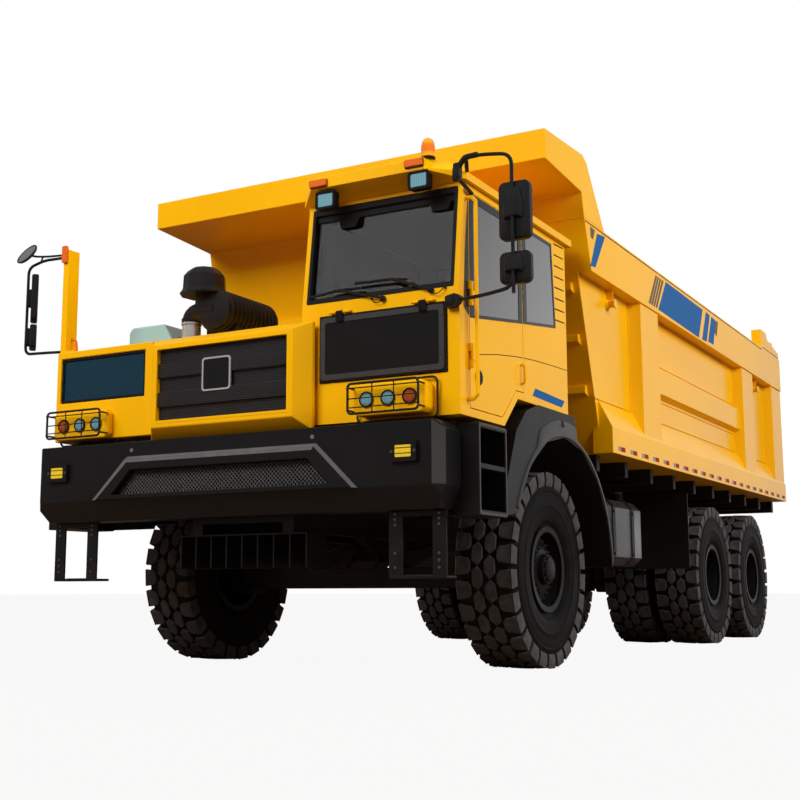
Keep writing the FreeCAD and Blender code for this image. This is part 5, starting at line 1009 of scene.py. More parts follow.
for angle in np.radians(45 * np.arange(8)):
    x, y = 1.63 + 0.045 * math.cos(angle), y_of(4.38) + 0.045 * math.sin(angle)
    tank_bits.box((x - 0.006, y - 0.006, 1.59), (x + 0.006, y + 0.006, 1.603))
tank_bits.mirror().make("tank_fittings", bolt_steel, "chassis", 0.001)

# Prow and side housing: folded sheet covers over engine and radiator, painted yellow, with a
# sloped shelf above the grille. The housing's window holds a dark mesh in a frame of its own.
for node, edge in (("prow", 0.01), ("side_housing", 0.01), ("engine_deck", 0.004)):
    dressed(node, yellow, edge, 30, 3)
perforated = Finish("hex_perforated")
hex_pitch = 0.02
hex_row = perforated.z / (hex_pitch * 0.866)
hex_shift = (hex_row * 0.5).fract().over(0.5) * 0.5
hex_u = (perforated.x / hex_pitch + hex_shift).fract() - 0.5
hex_v = (hex_row.fract() - 0.5) * 0.866
hex_square = hex_u * hex_u + hex_v * hex_v
hex_far = hex_square.math("SQRT", hex_square)
hex_hole = 1 - hex_far.step(0.3, 0.38)
hex_low = 1 - perforated.z.over(1.85)
hex_dark = hex_hole.most(hex_low)
perforated.paint(
    Base_Color=perforated.mix(hex_dark, (0.03, 0.03, 0.033), (0.0025, 0.0025, 0.003)),
    Roughness=hex_dark * 0.35 + 0.36,
    Normal=perforated.bump(1 - hex_dark, 0.004, 0.8),
)
dressed("grilles", perforated, 0.003)
frames = Shape()
frames.border(FRONT, rectangle((-0.64, 1.942), (0.64, 2.553), 0.012),
              rectangle((-0.618, 1.964), (0.618, 2.531), 0.008), 5.226, 5.23)
frames.make("grille_frame", yellow, "chassis", 0.002)

# Nose plate: a blank black plate in a bright frame, standing out before the grille.
chrome_trim = two_tone("bright_trim", 40.0, (0.8, 0.8, 0.82), (0.93, 0.93, 0.95), (40.0, 0.12, 0.1),
                       Metallic=0.75)
badge, badge_frame = Shape(), Shape()
badge.slab(FRONT, rectangle((-0.17, 2.17), (0.09, 2.42), 0.02), 5.15, 5.217)
badge_frame.border(FRONT, rectangle((-0.177, 2.163), (0.097, 2.427), 0.026),
                   rectangle((-0.162, 2.178), (0.082, 2.412), 0.02), 5.205, 5.2225)
badge.make("badge_place", charcoal, "chassis", 0.004)
badge_frame.make("badge_frame", chrome_trim, "chassis", 0.003, segments=3)

# Housing window: a framed screen of woven wire before the air intake; its dark blue is a painted
# reflection of the window's shine.
screen_mesh = Finish("intake_mesh")
screen_u = (screen_mesh.x * 55.0).fract() - 0.5
screen_v = (screen_mesh.z * 55.0).fract() - 0.5
screen_hole = (0.36 - screen_u.size().most(screen_v.size())).step(0.0, 0.05)
# Both blue tones are painted reflection over the dark wire and its holes.
screen_mesh.paint(
    Base_Color=screen_mesh.mix(screen_hole, (0.006, 0.045, 0.08), (0.001, 0.016, 0.032)),
    Roughness=screen_hole * 0.2 + 0.16,
    Normal=screen_mesh.bump(1 - screen_hole, 0.002, 0.7),
)
window_mesh, window_frame = Shape(), Shape()
window_mesh.slab(FRONT, rectangle((-1.752, 2.208), (-0.854, 2.572), 0.01), 5.078, 5.0825)
window_frame.border(FRONT, rectangle((-1.758, 2.202), (-0.848, 2.578), 0.012),
                    rectangle((-1.738, 2.222), (-0.868, 2.56), 0.01), 5.076, 5.096)
window_mesh.make("intake_screen", screen_mesh, "chassis")
window_frame.make("intake_frame", charcoal, "chassis", 0.003)

# Head lamps: yellow moulded boxes on the bumper deck, each with three round glass lenses in black
# bezels, behind a guard welded up from round bars. The lenses' bright cyan with lighter flute
# stripes is painted reflection and painted glints, standing in for the bright reflectors behind them.
dressed("lamp_boxes", yellow, 0.016, 30, 3)
lens_with_painted_glints = Finish("lens_with_painted_glints")
# Bright cyan with lighter stripes along the flutes: painted reflection and painted glints in the glass.
flute_glint_stripes = (lens_with_painted_glints.x * 70.0).fract()
lens_with_painted_glints.paint(
    Base_Color=lens_with_painted_glints.mix(flute_glint_stripes, (0.1, 0.48, 0.66), (0.5, 0.84, 0.95)),
    Roughness=lens_with_painted_glints.noise(20.0) * 0.04 + 0.04,
    Metallic=0.55,
    Coat_Weight=lens_with_painted_glints.noise(4.0) * 0.1 + 0.9,
    Normal=lens_with_painted_glints.bump(flute_glint_stripes, 0.002, 0.5,
                           lens_with_painted_glints.bump((lens_with_painted_glints.z * 40.0).fract(), 0.002, 0.4)),
)
brown_lens = Finish("turn_lens")
brown_lens.paint(
    Base_Color=brown_lens.mix((brown_lens.z * 60.0).fract(), (0.3, 0.045, 0.008), (0.46, 0.09, 0.01)),
    Roughness=brown_lens.noise(20.0) * 0.05 + 0.06,
    Coat_Weight=brown_lens.noise(4.0) * 0.1 + 0.9,
    Normal=brown_lens.bump((brown_lens.z * 60.0).fract(), 0.002, 0.5),
)
bezels, clears, browns = Shape(), Shape(), Shape()
lamp_middle, lamp_height = 1.455, 1.9925
for side in (1, -1):
    for number in (-1, 0, 1):
        centre = ((lamp_middle + 0.176 * number) * side, 0, lamp_height)
        bezels.lathe([(-5.177, 0.046), (-5.177, 0.057), (-5.193, 0.0565), (-5.196, 0.053), (-5.195, 0.048),
                      (-5.188, 0.045)], centre, "y", 40)
        glass_profile = [(-5.177, 0.0), (-5.177, 0.047), (-5.189, 0.047), (-5.194, 0.036), (-5.1975, 0.02),
                         (-5.1985, 0.0)]
        (browns if number == 1 else clears).lathe(glass_profile, centre, "y", 40)
lens_piece = clears.make("head_lamp_lenses", lens_with_painted_glints, "chassis", smooth=50)
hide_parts("lamps")
browns.make("turn_lamp_lenses", brown_lens, "chassis", smooth=50)
bezels.make("head_lamp_bezels", hole_black, "chassis", smooth=40)
guard_black = two_tone("guard_black", 20.0, (0.008, 0.008, 0.009), (0.014, 0.014, 0.015),
                       (20.0, 0.15, 0.28), (200.0, 0.0006, 0.3))
guards, guard_screws = Shape(), Shape()
guard_y = -5.2625
guard_foot, guard_top = 1.884, 2.101


def hoop(shape, side, ends, y, low, high, radius, bend):
    """A bar round a rectangle that faces forward, from the middle of its foot and back to it."""
    low_x, high_x = sorted(end * side for end in ends)
    middle = ((low_x + high_x) / 2, y, low)
    path = [middle, (high_x, y, low), (high_x, y, high), (low_x, y, high), (low_x, y, low), middle]
    shape.tube(path, radius, 12, bend)


for side in (1, -1):
    low_x, high_x = sorted((1.169 * side, 1.741 * side))
    hoop(guards, side, (1.169, 1.741), guard_y, guard_foot, guard_top, 0.009, 0.035)
    for z in (1.928, lamp_height, 2.068):
        guards.tube([(low_x, guard_y, z), (high_x, guard_y, z)], 0.0048, 8)
    for x in (lamp_middle + 0.088, lamp_middle - 0.088):
        bar_y = guard_y + 0.006
        guards.tube([(x * side, bar_y, guard_foot), (x * side, bar_y, guard_top)], 0.0048, 8)
    for x in (low_x, high_x):
        for z in (1.911, 2.074):
            guards.tube([(x, guard_y, z), (x, -5.172, z)], 0.0075, 10)
            guard_screws.lathe([(guard_y - 0.0115, 0.0), (guard_y - 0.0115, 0.006),
                                (guard_y - 0.006, 0.008), (guard_y, 0.008), (guard_y, 0.0)],
                               (x, 0, z), "y", 12)
    hoop(guards, side, (1.128, 1.785), -5.055, 1.845, 2.138, 0.0085, 0.05)
guard_piece = guards.make("lamp_guard_bars", guard_black, "chassis", smooth=60)
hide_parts("lamp_guards")
guard_screws.make("guard_screws", bolt_steel, "chassis", smooth=40)

# Cab: a welded shell of folded panels in yellow. The screen is set in a black rubber seal; the
# side panes are bonded on, each under a thin outer pane with a clear shine, in black edges.
for node, edge in (("cab_shell", 0.01), ("cab_door", 0.005), ("post_and_rail", 0.004)):
    dressed(node, yellow, edge, 30, 3)
glass = Finish("tinted_glass")
glass.paint(
    Base_Color=(0.1, 0.103, 0.106),
    Transmission_Weight=1.0,
    Roughness=glass.noise(3.0) * 0.01 + 0.01,
    IOR=1.65,
    Coat_Weight=glass.x.step(1.86, 1.88),
    Coat_IOR=3.0,
    Coat_Roughness=0.01,
)
for node in ("cab_glass", "cab_door_glass"):
    dressed(node, glass, 0.0)
rubber_seal = two_tone("rubber_seal", 12.0, (0.006, 0.006, 0.007), (0.012, 0.012, 0.013),
                       (12.0, 0.15, 0.38), (150.0, 0.0006, 0.3))
bonded = two_tone("bonded_edge", 5.0, (0.006, 0.006, 0.007), (0.01, 0.01, 0.011), (5.0, 0.02, 0.03))
SCREEN = ((0, -5.0275, 2.79), (1, 0, 0), (0, 0.12236, 0.99249))
door_body = cad_nodes["cab_door"]["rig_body"]
seal, shade = Shape(), Shape()
seal.border(SCREEN, rectangle((0.66, -0.006), (1.908, 0.768), 0.012),
            rectangle((0.688, 0.032), (1.88, 0.716), 0.01), -0.034, 0.005)
shade.slab(SCREEN, rectangle((0.69, 0.665), (1.88, 0.735)), -0.029, -0.02)
shade.slab(SCREEN, [(0.88, 0.675), (0.905, 0.592), (1.035, 0.592), (1.07, 0.675)], -0.029, -0.018)
shade.slab(SCREEN, [(1.665, 0.675), (1.69, 0.605), (1.82, 0.605), (1.845, 0.675)], -0.029, -0.018)
seal.make("screen_seal", rubber_seal, "chassis", 0.004, segments=3)
shade.make("screen_shade", rubber_seal, "chassis", 0.003)
side_strip, quarter_edge, door_edge = Shape(), Shape(), Shape()
edge_in, edge_out = 1.9215, 1.9535
pane_in, pane_out = 1.944, 1.95
side_strip.slab(LEFT, [(0.266, 2.645), (0.357, 2.59), (0.357, 3.5), (0.3, 3.06)], 1.949, edge_out)
quarter_edge.border(LEFT, [(1.333, 2.716), (2.022, 2.808), (1.962, 3.524), (1.333, 3.524)],
                    [(1.41, 2.749), (1.994, 2.83), (1.935, 3.495), (1.41, 3.495)], edge_in, edge_out)
door_edge.border(LEFT, [(0.37, 2.58), (1.32, 2.714), (1.32, 3.518), (0.37, 3.518)],
                 [(0.44, 2.616), (1.25, 2.728), (1.25, 3.4575), (0.44, 3.4575)], edge_in, edge_out)
quarter_pane, door_pane = Shape(), Shape()
quarter_pane.slab(LEFT, [(1.408, 2.747), (1.996, 2.828), (1.937, 3.497), (1.408, 3.497)], pane_in, pane_out)
door_pane.slab(LEFT, [(0.438, 2.614), (1.252, 2.726), (1.252, 3.4595), (0.438, 3.4595)], pane_in, pane_out)
quarter_pane.make("quarter_pane", glass, "chassis")
door_pane.make("door_pane", glass, door_body)
side_strip.make("side_glass_strip", bonded, "chassis", 0.002)
quarter_edge.make("quarter_glass_edge", bonded, "chassis", 0.002)
door_edge.make("door_glass_edge", bonded, door_body, 0.002)

# Wipers: two sprung steel arms on pivots under the screen, each with a rubber blade and a
# washer hose that loops from the panel to the pivot.
wipers = Shape()
for pivot, hose, blade in (
    ((1.333, -0.035), (1.236, -0.023), ((0.706, 0.046), (0.934, 0.074), (1.129, 0.07))),
    ((1.729, -0.021), (1.842, -0.013), ((1.09, 0.111), (1.395, 0.104), (1.528, 0.087))),
):
    places = on(SCREEN, [(pivot[0], pivot[1], 0.022),
                         ((pivot[0] + blade[1][0]) / 2, (pivot[1] + blade[1][1]) / 2, 0.034),
                         (blade[1][0], blade[1][1], 0.022)])
    wipers.tube(places, 0.01, 8, 0.04)
    wipers.tube(on(SCREEN, [(u, v, 0.014) for u, v in blade]), 0.011, 8, 0.03)
    wipers.tube(on(SCREEN, [(u, v, 0.004) for u, v in blade]), 0.0045, 6, 0.03)
    spot = on(SCREEN, [(pivot[0], pivot[1], 0.0)])[0]
    wipers.lathe([(-0.03, 0.0), (-0.03, 0.014), (-0.022, 0.021), (0.012, 0.023), (0.012, 0.0)],
                 spot, "y", 20)
    ends = [(hose[0], hose[1], 0.002), (hose[0], hose[1] - 0.005, 0.02),
            ((pivot[0] + hose[0]) / 2, hose[1] - 0.05, 0.02), (pivot[0], pivot[1] - 0.02, 0.018)]
    wipers.tube(on(SCREEN, ends), 0.0035, 6, 0.03)
    spot = on(SCREEN, [(hose[0], hose[1], 0.0)])[0]
    wipers.lathe([(-0.01, 0.0), (-0.01, 0.009), (0.006, 0.01), (0.006, 0.0)], spot, "y", 12)
wipers.make("wipers", rubber_seal, "chassis", smooth=60)

# Cab roof: one pressed panel whose visor leans out over the screen with its front corners cut
# off; work lamps hang below the visor, amber markers and a beacon stand on its edge.
roof = Shape()
roof_rows = []
for station, low, high, under, side_top, top, shoulder in (
    (0.0905, 0.758, 1.731, 3.648, 3.65, 3.732, 0.004),
    (0.097, 0.756, 1.736, 3.6455, 3.66, 3.739, 0.018),
    (0.28, 0.585, 1.985, 3.582, 3.64, 3.74, 0.15),
    (2.34, 0.58, 1.99, 3.58, 3.64, 3.74, 0.15),
    (2.35, 0.59, 1.98, 3.585, 3.64, 3.735, 0.15),
):
    outline = [(low, under), (high, under), (high, side_top), (high - shoulder, top),
               (low + shoulder, top), (low, side_top)]
    roof_rows.append([(x, y_of(station), z) for x, z in outline])
roof.grid(np.array(roof_rows))
roof_piece = roof.make("roof_panel", yellow, "chassis", 0.006, 20, 3)
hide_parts("cab_roof")
work_frames, work_glass, markers, marker_feet = Shape(), Shape(), Shape(), Shape()


def around(x, z, wide, tall, corner):
    """A rectangle's outline about its middle."""
    return rectangle((x - wide, z - tall), (x + wide, z + tall), corner)


for x, z in ((0.878, 3.556), (1.675, 3.58)):
    work_frames.slab(FRONT, around(x, z, 0.082, 0.068, 0.02), 5.05, 5.11)
    work_frames.border(FRONT, around(x, z, 0.086, 0.072, 0.022), around(x, z, 0.066, 0.05, 0.012),
                       5.105, 5.126)
    work_glass.slab(FRONT, around(x, z, 0.067, 0.051, 0.012), 5.108, 5.119)
    work_frames.box((x - 0.02, -5.1, z + 0.06), (x + 0.02, -5.06, 3.65))
for x, z in ((0.833, 3.68), (1.652, 3.698)):
    markers.slab(FRONT, rectangle((x - 0.074, z - 0.024), (x + 0.074, z + 0.03), 0.012), 5.138, 5.166)
    marker_feet.slab(FRONT, rectangle((x - 0.078, z - 0.03), (x + 0.078, z + 0.034), 0.01), 5.134, 5.1425)
beacon_amber = Finish("beacon_amber")
beacon_core = beacon_amber.z.step(3.77, 3.8) * (1 - beacon_amber.z.step(3.83, 3.87))
beacon_amber.paint(
    Base_Color=beacon_amber.mix(beacon_core, (0.95, 0.42, 0.006), (0.9, 0.2, 0.003)),
    Roughness=beacon_amber.noise(20.0) * 0.06 + 0.1,
    Coat_Weight=beacon_amber.noise(5.0) * 0.2 + 0.6,
)
beacon = Shape()
beacon_spot = (1.7306, y_of(0.16), 0)
beacon.lathe([(3.752, 0.0), (3.752, 0.051), (3.835, 0.051), (3.868, 0.044), (3.889, 0.031),
              (3.899, 0.014), (3.901, 0.0)], beacon_spot, "z", 40)
marker_feet.lathe([(3.739, 0.0), (3.739, 0.054), (3.75, 0.054), (3.755, 0.051), (3.755, 0.0)],
                  beacon_spot, "z", 40)
beacon.make("beacon_dome", beacon_amber, "chassis", smooth=50)
post_face = -y_of(0.21)
markers.slab(FRONT, rectangle((-1.893, 3.462), (-1.838, 3.612), 0.012),
             post_face - 0.022, post_face + 0.006)
work_frames.make("work_lamp_housings", hole_black, "chassis", 0.003)
# The work lamps' lenses share the bright cyan painted reflection of the head lamp lenses.
work_glass.make("work_lamp_lenses", lens_with_painted_glints, "chassis", 0.003)
markers.make("amber_markers", marker_amber, "chassis", 0.004, 40)
marker_feet.make("marker_feet", hole_black, "chassis", 0.002)

# Cab side fittings: a pull handle and a round lock on the door, air slits behind the window as
# dark strips of painted shade, a plain blue plate below it, and a thin line of painted shade along
# the crease pressed along both panels.
handles, locks, slits, side_plate = Shape(), Shape(), Shape(), Shape()
handles.tube([(1.95, y_of(1.275), 2.225), (1.984, y_of(1.275), 2.232), (1.984, y_of(1.275), 2.37),
              (1.95, y_of(1.275), 2.377)], 0.01, 12, 0.02)
locks.lathe([(1.95, 0.0), (1.95, 0.058), (1.958, 0.057), (1.962, 0.042), (1.956, 0.034), (1.962, 0.02),
             (1.963, 0.0)], (0, y_of(0.505), 2.162), "x", 28)
for number in range(8):
    z = 3.54 - 0.094 * number
    slits.slab(LEFT, [(2.02, z + 0.006), (2.23, z + 0.014), (2.23, z + 0.004), (2.02, z - 0.006)],
               1.9485, 1.9512)
side_plate.slab(LEFT, [(1.5, 2.166), (2.12, 2.15), (2.19, 2.212), (1.56, 2.232)], 1.948, 1.9525)
crease = np.array([(0.3775, 2.302), (0.5315, 2.333), (0.8305, 2.383), (1.1665, 2.424), (1.3155, 2.437),
                   (1.3375, 2.439), (1.5645, 2.456), (1.9265, 2.473), (2.2575, 2.483)])
# The crease is drawn as a thin dark strip of painted shade over the panel.
door_crease_shade, cab_crease_shade = Shape(), Shape()
for shape, line in ((door_crease_shade, crease[:5]), (cab_crease_shade, crease[5:])):
    for k in range(len(line) - 1):
        shape.slab(LEFT, [line[k], line[k + 1], line[k + 1] + (0, 0.006), line[k] + (0, 0.006)],
                   1.948, 1.9508)
door_crease_shade.make("door_crease_shade", painted_seam_shade, door_body)
cab_crease_shade.make("cab_crease_shade", painted_seam_shade, "chassis")
handles.make("door_handle", yellow, door_body, smooth=50)
locks.make("door_lock", rubber_seal, door_body, smooth=40)
slits.make("cab_air_slit_shade", painted_seam_shade, "chassis")
side_plate.make("cab_side_plate", blue_vinyl, "chassis", 0.001)

# Hatch: a charcoal steel lid under the screen with a raised frame, hinged along its top edge
# and held by six quarter-turn screws.
hatch_body = cad_nodes["hatch_lid"]["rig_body"]
dressed("hatch_lid", charcoal, 0.004)
hatch_frame, latches = Shape(), Shape()
hatch_frame.border(FRONT, rectangle((0.8, 2.186), (1.837, 2.661), 0.025),
                   rectangle((0.842, 2.228), (1.795, 2.619), 0.02), 5.044, 5.0515)
for x, z in ((0.822, 2.262), (0.822, 2.585), (1.816, 2.262), (1.816, 2.585), (1.1, 2.206), (1.54, 2.206)):
    latches.lathe([(-5.0555, 0.0), (-5.0555, 0.008), (-5.053, 0.011), (-5.048, 0.012), (-5.048, 0.0)],
                  (x, 0, z), "y", 16)
hatch_frame.make("hatch_frame", edge_grey, hatch_body, 0.003)
latches.make("hatch_screws", bolt_steel, hatch_body, smooth=40)

# Operator's place: a sprung seat with cloth cushions on a boxed base, and a steering column
# with its wheel rising from the dash.
seat_cloth = Finish("seat_cloth")
cloth_weave = (seat_cloth.x * 220.0).fract() * (seat_cloth.z * 220.0).fract()
seat_cloth.paint(
    Base_Color=seat_cloth.mix(seat_cloth.noise(30.0), (0.012, 0.012, 0.014), (0.024, 0.024, 0.027)),
    Roughness=seat_cloth.noise(30.0) * 0.1 + 0.8,
    Normal=seat_cloth.bump(cloth_weave, 0.001, 0.5),
)


def cushion(shape, low, high):
    """A pillow between two corners: each outline point goes out to |c|^p + |s|^p = 1 with p = 5,
    and rows shrink towards bottom and top by the same law."""
    low, high = np.array(low, float), np.array(high, float)
    middle, half = (low + high) / 2, (high - low) / 2
    turn = 2 * np.pi * np.arange(32) / 32
    square = np.column_stack([np.cos(turn), np.sin(turn)])
    square /= (np.abs(square) ** 5).sum(axis=1, keepdims=True) ** 0.2
    rows = []
    for rise in np.sin(np.linspace(-1, 1, 13) * np.pi / 2):
        spread = max(1 - abs(rise) ** 4, 0.0) ** 0.25 * 0.98 + 0.02
        rows.append(np.column_stack([middle[:2] + square * half[:2] * spread,
                                     np.full(32, middle[2] + half[2] * rise)]))
    shape.grid(np.array(rows))


cushions = Shape()
cushion(cushions, (1.05, -3.955, 2.44), (1.52, -3.6, 2.56))
cushion(cushions, (1.05, -3.585, 2.48), (1.52, -3.44, 3.02))
cushion(cushions, (1.15, -3.56, 3.035), (1.42, -3.45, 3.235))
seat_pads = cushions.make("seat_cushions", seat_cloth, "chassis", smooth=60)
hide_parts("operator_seat")
seat_base = Shape()
seat_base.box((1.17, -3.86, 2.16), (1.4, -3.54, 2.4))
seat_base.box((1.08, -3.9, 2.4), (1.49, -3.5, 2.445))
seat_base.box((1.1, -3.475, 2.42), (1.47, -3.42, 3.0))
seat_base.make("seat_base", charcoal, "chassis", 0.015, segments=3)
dressed("steering_stand", charcoal, 0.008, 30, 2)

# Mirrors: black moulded heads with a ridged back on bent steel tubes that are clamped to the
# cab on one side and to the deck post on the other; a round close-view mirror tops the right one.
moulded = Finish("moulded_black")
moulded_grain = moulded.noise(300.0, 2.0)
moulded.paint(
    Base_Color=moulded.mix(moulded.noise(8.0), (0.007, 0.007, 0.008), (0.012, 0.012, 0.013)),
    Roughness=moulded.noise(8.0) * 0.12 + 0.36,
    Normal=moulded.bump(moulded_grain, 0.0006, 0.4),
)
mirror_glass = two_tone("mirror_glass", 3.0, (0.7, 0.71, 0.72), (0.76, 0.77, 0.78), (3.0, 0.02, 0.02),
                        Metallic=1.0)
LEFT_HEAD = ((2.4, -5.0575, 0), (1, 0, 0), (0, 0, 1))
RIGHT_HEAD = ((-2.35, -4.905, 0), (-0.72, 0.694, 0), (0, 0, 1))


def head(shape, glasses, notch_shades, plane, low, high, wide, depth):
    """A mirror head: its rounded outline shrinks towards the back, which carries a ridge and, at its
    foot, a darker patch of painted shade where a notch would be; the glass lies in the front."""
    rows = []
    for inset, w in ((0.006, -depth), (0.0, 0.006 - depth), (0.0, 0.004), (0.008, 0.016), (0.022, 0.023)):
        outline = rectangle((-wide + inset, low + inset), (wide - inset, high - inset), 0.045 - inset)
        rows.append(raised(plane, outline, w))
    shape.grid(np.array(rows))
    tall = high - low
    ridge = [(-0.07, low + tall * 0.34), (0.07, low + tall * 0.34), (0.082, low + tall * 0.48),
             (0.06, high - tall * 0.16), (0.04, high - tall * 0.12), (-0.04, high - tall * 0.12),
             (-0.06, high - tall * 0.16), (-0.082, low + tall * 0.48)]
    centre = np.array([0.0, low + tall * 0.6])
    ridge = np.array(ridge)
    rows = []
    for share, w in ((1.0, 0.016), (0.93, 0.04), (0.72, 0.06), (0.64, 0.063)):
        rows.append(raised(plane, (ridge - centre) * (share, 0.5 + share * 0.5) + centre, w))
    shape.grid(np.array(rows))
    # A flat patch darker than the moulding stands for the notch: painted shade.
    notch_shades.slab(plane, [(-0.062, low + 0.012), (0.062, low + 0.012), (0.056, low + tall * 0.3),
                         (0.036, low + tall * 0.38), (-0.036, low + tall * 0.38),
                         (-0.056, low + tall * 0.3)], 0.021, 0.0245)
    glasses.slab(plane, rectangle((-wide + 0.014, low + 0.014), (wide - 0.014, high - 0.014), 0.032),
                 -depth - 0.003, -depth + 0.004)


heads, mirror_faces, notch_shades, mirror_tubes = Shape(), Shape(), Shape(), Shape()
head(heads, mirror_faces, notch_shades, LEFT_HEAD, 3.045, 3.465, 0.118, 0.046)
head(heads, mirror_faces, notch_shades, LEFT_HEAD, 2.73, 2.96, 0.118, 0.042)
for low, high in ((3.015, 3.43), (2.765, 2.975)):
    rows = []
    for inset, w in ((0.006, 0.052), (0.0, 0.046), (0.0, 0.004), (0.012, -0.006)):
        outline = rectangle((-0.115 + inset, low + inset), (0.115 - inset, high - inset), 0.035 - inset)
        rows.append(raised(RIGHT_HEAD, outline, w))
    heads.grid(np.array(rows))
    middle = (low + high) / 2
    heads.slab(RIGHT_HEAD, around(0.0, middle, 0.05, 0.08, 0.03), -0.036, 0.0)
    mirror_faces.slab(RIGHT_HEAD, rectangle((-0.103, low + 0.012), (0.103, high - 0.012), 0.03),
                      0.046, 0.054)
left_y = -5.0975
mirror_tubes.tube([(2.06, left_y, 3.69), (2.16, left_y, 3.69), (2.4, left_y, 3.655), (2.4, left_y, 2.7),
                   (2.16, -5.08, 2.672), (1.935, -5.052, 2.668)], 0.0135, 14, 0.085)
mirror_tubes.tube([(2.4, left_y, 2.78), (2.4, left_y, 2.655)], 0.0135, 14)
mirror_tubes.tube([(1.975, left_y, 3.56), (1.978, -4.86, 3.5)], 0.016, 10)
mirror_tubes.tube([(1.975, left_y, 3.61), (2.04, left_y, 3.69), (2.14, left_y, 3.694)], 0.021, 10, 0.02)
mirror_tubes.tube([(1.99, -4.96, 3.64), (2.045, left_y + 0.01, 3.695)], 0.016, 10)
mirror_tubes.slab(FRONT, rectangle((1.955, 3.545), (2.005, 3.655), 0.018), 5.07, 5.118)
mirror_tubes.lathe([(3.53, 0.0), (3.53, 0.026), (3.535, 0.03), (3.615, 0.03), (3.62, 0.026), (3.62, 0.0)],
                   (1.972, left_y, 0), "z", 20)
mirror_tubes.slab(FRONT, [(1.865, 2.62), (1.935, 2.62), (1.975, 2.66), (1.975, 2.7), (1.935, 2.715),
                          (1.865, 2.7)], 5.02, 5.085)
mirror_tubes.lathe([(-5.095, 0.0), (-5.095, 0.03), (-5.088, 0.036), (-5.03, 0.036), (-5.03, 0.0)],
                   (1.902, 0, 2.662), "y", 24)
right_y = -4.9325
mirror_tubes.tube([(-1.888, right_y, 3.535), (-2.19, right_y, 3.543), (-2.372, right_y, 3.5),
                   (-2.372, right_y, 2.715), (-2.08, right_y, 2.702), (-1.888, right_y, 2.69)],
                  0.0125, 14, 0.065)
mirror_tubes.tube([(-1.94, right_y, 3.56), (-2.15, right_y, 3.575), (-2.28, right_y, 3.592),
                   (-2.39, right_y, 3.622)], 0.0095, 10, 0.03)
mirror_tubes.tube([(-2.205, right_y, 3.582), (-2.225, right_y, 3.543)], 0.008, 8)
mirror_tubes.slab(FRONT, rectangle((-1.96, 3.525), (-1.888, 3.57), 0.008), 4.915, 4.95)
DISC = ((-2.4, -4.9325, 3.63), (0.9815, -0.1915, 0.0), (0.1053, 0.5398, 0.8355))
shell_rows = [(0.001, -0.034), (0.05, -0.03), (0.1, -0.014), (0.1135, 0.0), (0.1135, 0.008), (0.104, 0.01),
              (0.102, 0.004), (0.001, 0.004)]
heads.grid(np.array([raised(DISC, circle(radius, 40), w) for radius, w in shell_rows]))
face_rows = [(0.001, 0.002), (0.1025, 0.002), (0.1025, 0.006), (0.06, 0.012), (0.001, 0.014)]
mirror_faces.grid(np.array([raised(DISC, circle(radius, 40), w) for radius, w in face_rows]))
heads_piece = heads.make("mirror_heads", moulded, "chassis", smooth=32)
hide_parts("mirrors")
mirror_faces.make("mirror_glasses", mirror_glass, "chassis", smooth=32)
notch_shades.make("mirror_notch_shades", hole_black, "chassis")
mirror_tubes.make("mirror_tubes", moulded, "chassis", smooth=50)
post_bits = Shape()
post_bits.tube([(-1.835, -4.93, 2.79), (-1.775, -4.93, 2.78), (-1.755, -4.93, 2.642)], 0.01, 10, 0.025)
post_bits.make("post_handle", marker_amber, "chassis", smooth=50)

# Air cleaner: a ribbed moulded canister laid along the deck, fed through a faceted rain hood
# on a neck; a rubber elbow clamps it to the bright intake pipe that rises through the deck.
neck_spot = (-0.8525, -4.3525, 0)
pipe_spot = (-0.985, -4.3525, 0)
air_shell = Shape()
canister = [(-4.4275, 0.0), (-4.4275, 0.15), (-4.42, 0.166), (-4.4, 0.171)]
for number in range(12):
    start = -4.385 + 0.058 * number
    canister += [(start, 0.172), (start + 0.006, 0.186), (start + 0.024, 0.188), (start + 0.03, 0.174)]
canister += [(-3.69, 0.171), (-3.672, 0.16), (-3.668, 0.14), (-3.668, 0.0)]
air_shell.lathe(canister, (-0.7, 0, 3.03), "y", 48)
for station in (-4.3, -3.86):
    air_shell.box((-0.86, station, 2.64), (-0.54, station + 0.045, 2.9))
air_shell.lathe([(3.03, 0.0), (3.03, 0.078), (3.2, 0.078), (3.2, 0.0)], neck_spot, "z", 32)
hood = Shape()
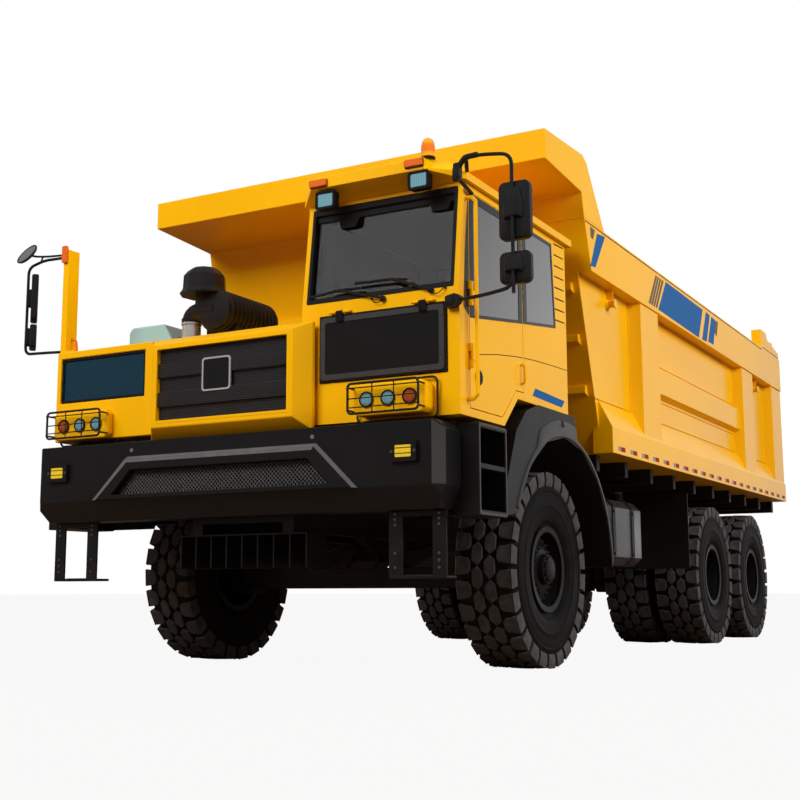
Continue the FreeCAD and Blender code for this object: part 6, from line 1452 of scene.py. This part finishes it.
hood.lathe([(3.19, 0.06), (3.19, 0.2), (3.182, 0.2148), (3.196, 0.215), (3.219, 0.198), (3.238, 0.189),
            (3.352, 0.183), (3.392, 0.15), (3.424, 0.108), (3.428, 0.0), (3.4, 0.0), (3.33, 0.15),
            (3.215, 0.17)], neck_spot, "z", 10, 0.2)
elbow = Shape()
elbow.tube([(-0.985, -4.3525, 2.93), (-0.985, -4.3525, 3.04), (-0.7, -4.3525, 3.04)], 0.084, 28, 0.1)
for z in (2.958, 2.975):
    elbow.lathe([(z, 0.08), (z, 0.088), (z + 0.014, 0.088), (z + 0.014, 0.08)], pipe_spot, "z", 32)
air_piece = air_shell.make("air_canister", moulded, "chassis", 0.002, 32)
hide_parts("air_cleaner")
hood.make("rain_hood", moulded, "chassis", 0.005, 20, 3)
elbow.make("intake_elbow", rubber_seal, "chassis", smooth=50)
pipes = Shape()
pipes.lathe([(2.64, 0.0), (2.64, 0.082), (2.94, 0.082), (2.94, 0.0)], pipe_spot, "z", 40)
pipes.lathe([(2.934, 0.081), (2.934, 0.0895), (2.95, 0.0895), (2.95, 0.081)], pipe_spot, "z", 40)
pipes.box((-0.995, -4.4475, 2.932), (-0.975, -4.4325, 2.952))
pipes.make("intake_pipe", chrome_trim, "chassis", smooth=40)

# Coolant tank: a blow-moulded pale blue-green bottle, darker below its level, with a black cap,
# bracket and hose.
coolant = Finish("coolant_plastic")
coolant_level = coolant.z.step(2.8, 2.83)
coolant.paint(
    Base_Color=coolant.mix(coolant_level, (0.2, 0.42, 0.46), (0.34, 0.56, 0.58)),
    Roughness=coolant.noise(20.0) * 0.1 + 0.35,
    Normal=coolant.bump(coolant.noise(120.0), 0.0008, 0.3),
)
dressed("coolant_tank", coolant, 0.022, 30, 4)
coolant_bits = Shape()
coolant_bits.lathe([(2.96, 0.0), (2.96, 0.034), (2.978, 0.034), (2.984, 0.028), (2.984, 0.0)],
                   (-1.5, -4.26, 0), "z", 24)
coolant_bits.box((-1.23, -4.3, 2.76), (-1.13, -4.2, 2.86))
coolant_bits.tube([(-1.18, -4.25, 2.82), (-1.08, -4.25, 2.84), (-1.05, -4.25, 2.645)], 0.018, 10, 0.05)
coolant_bits.make("coolant_cap", rubber_seal, "chassis", 0.003, 40)
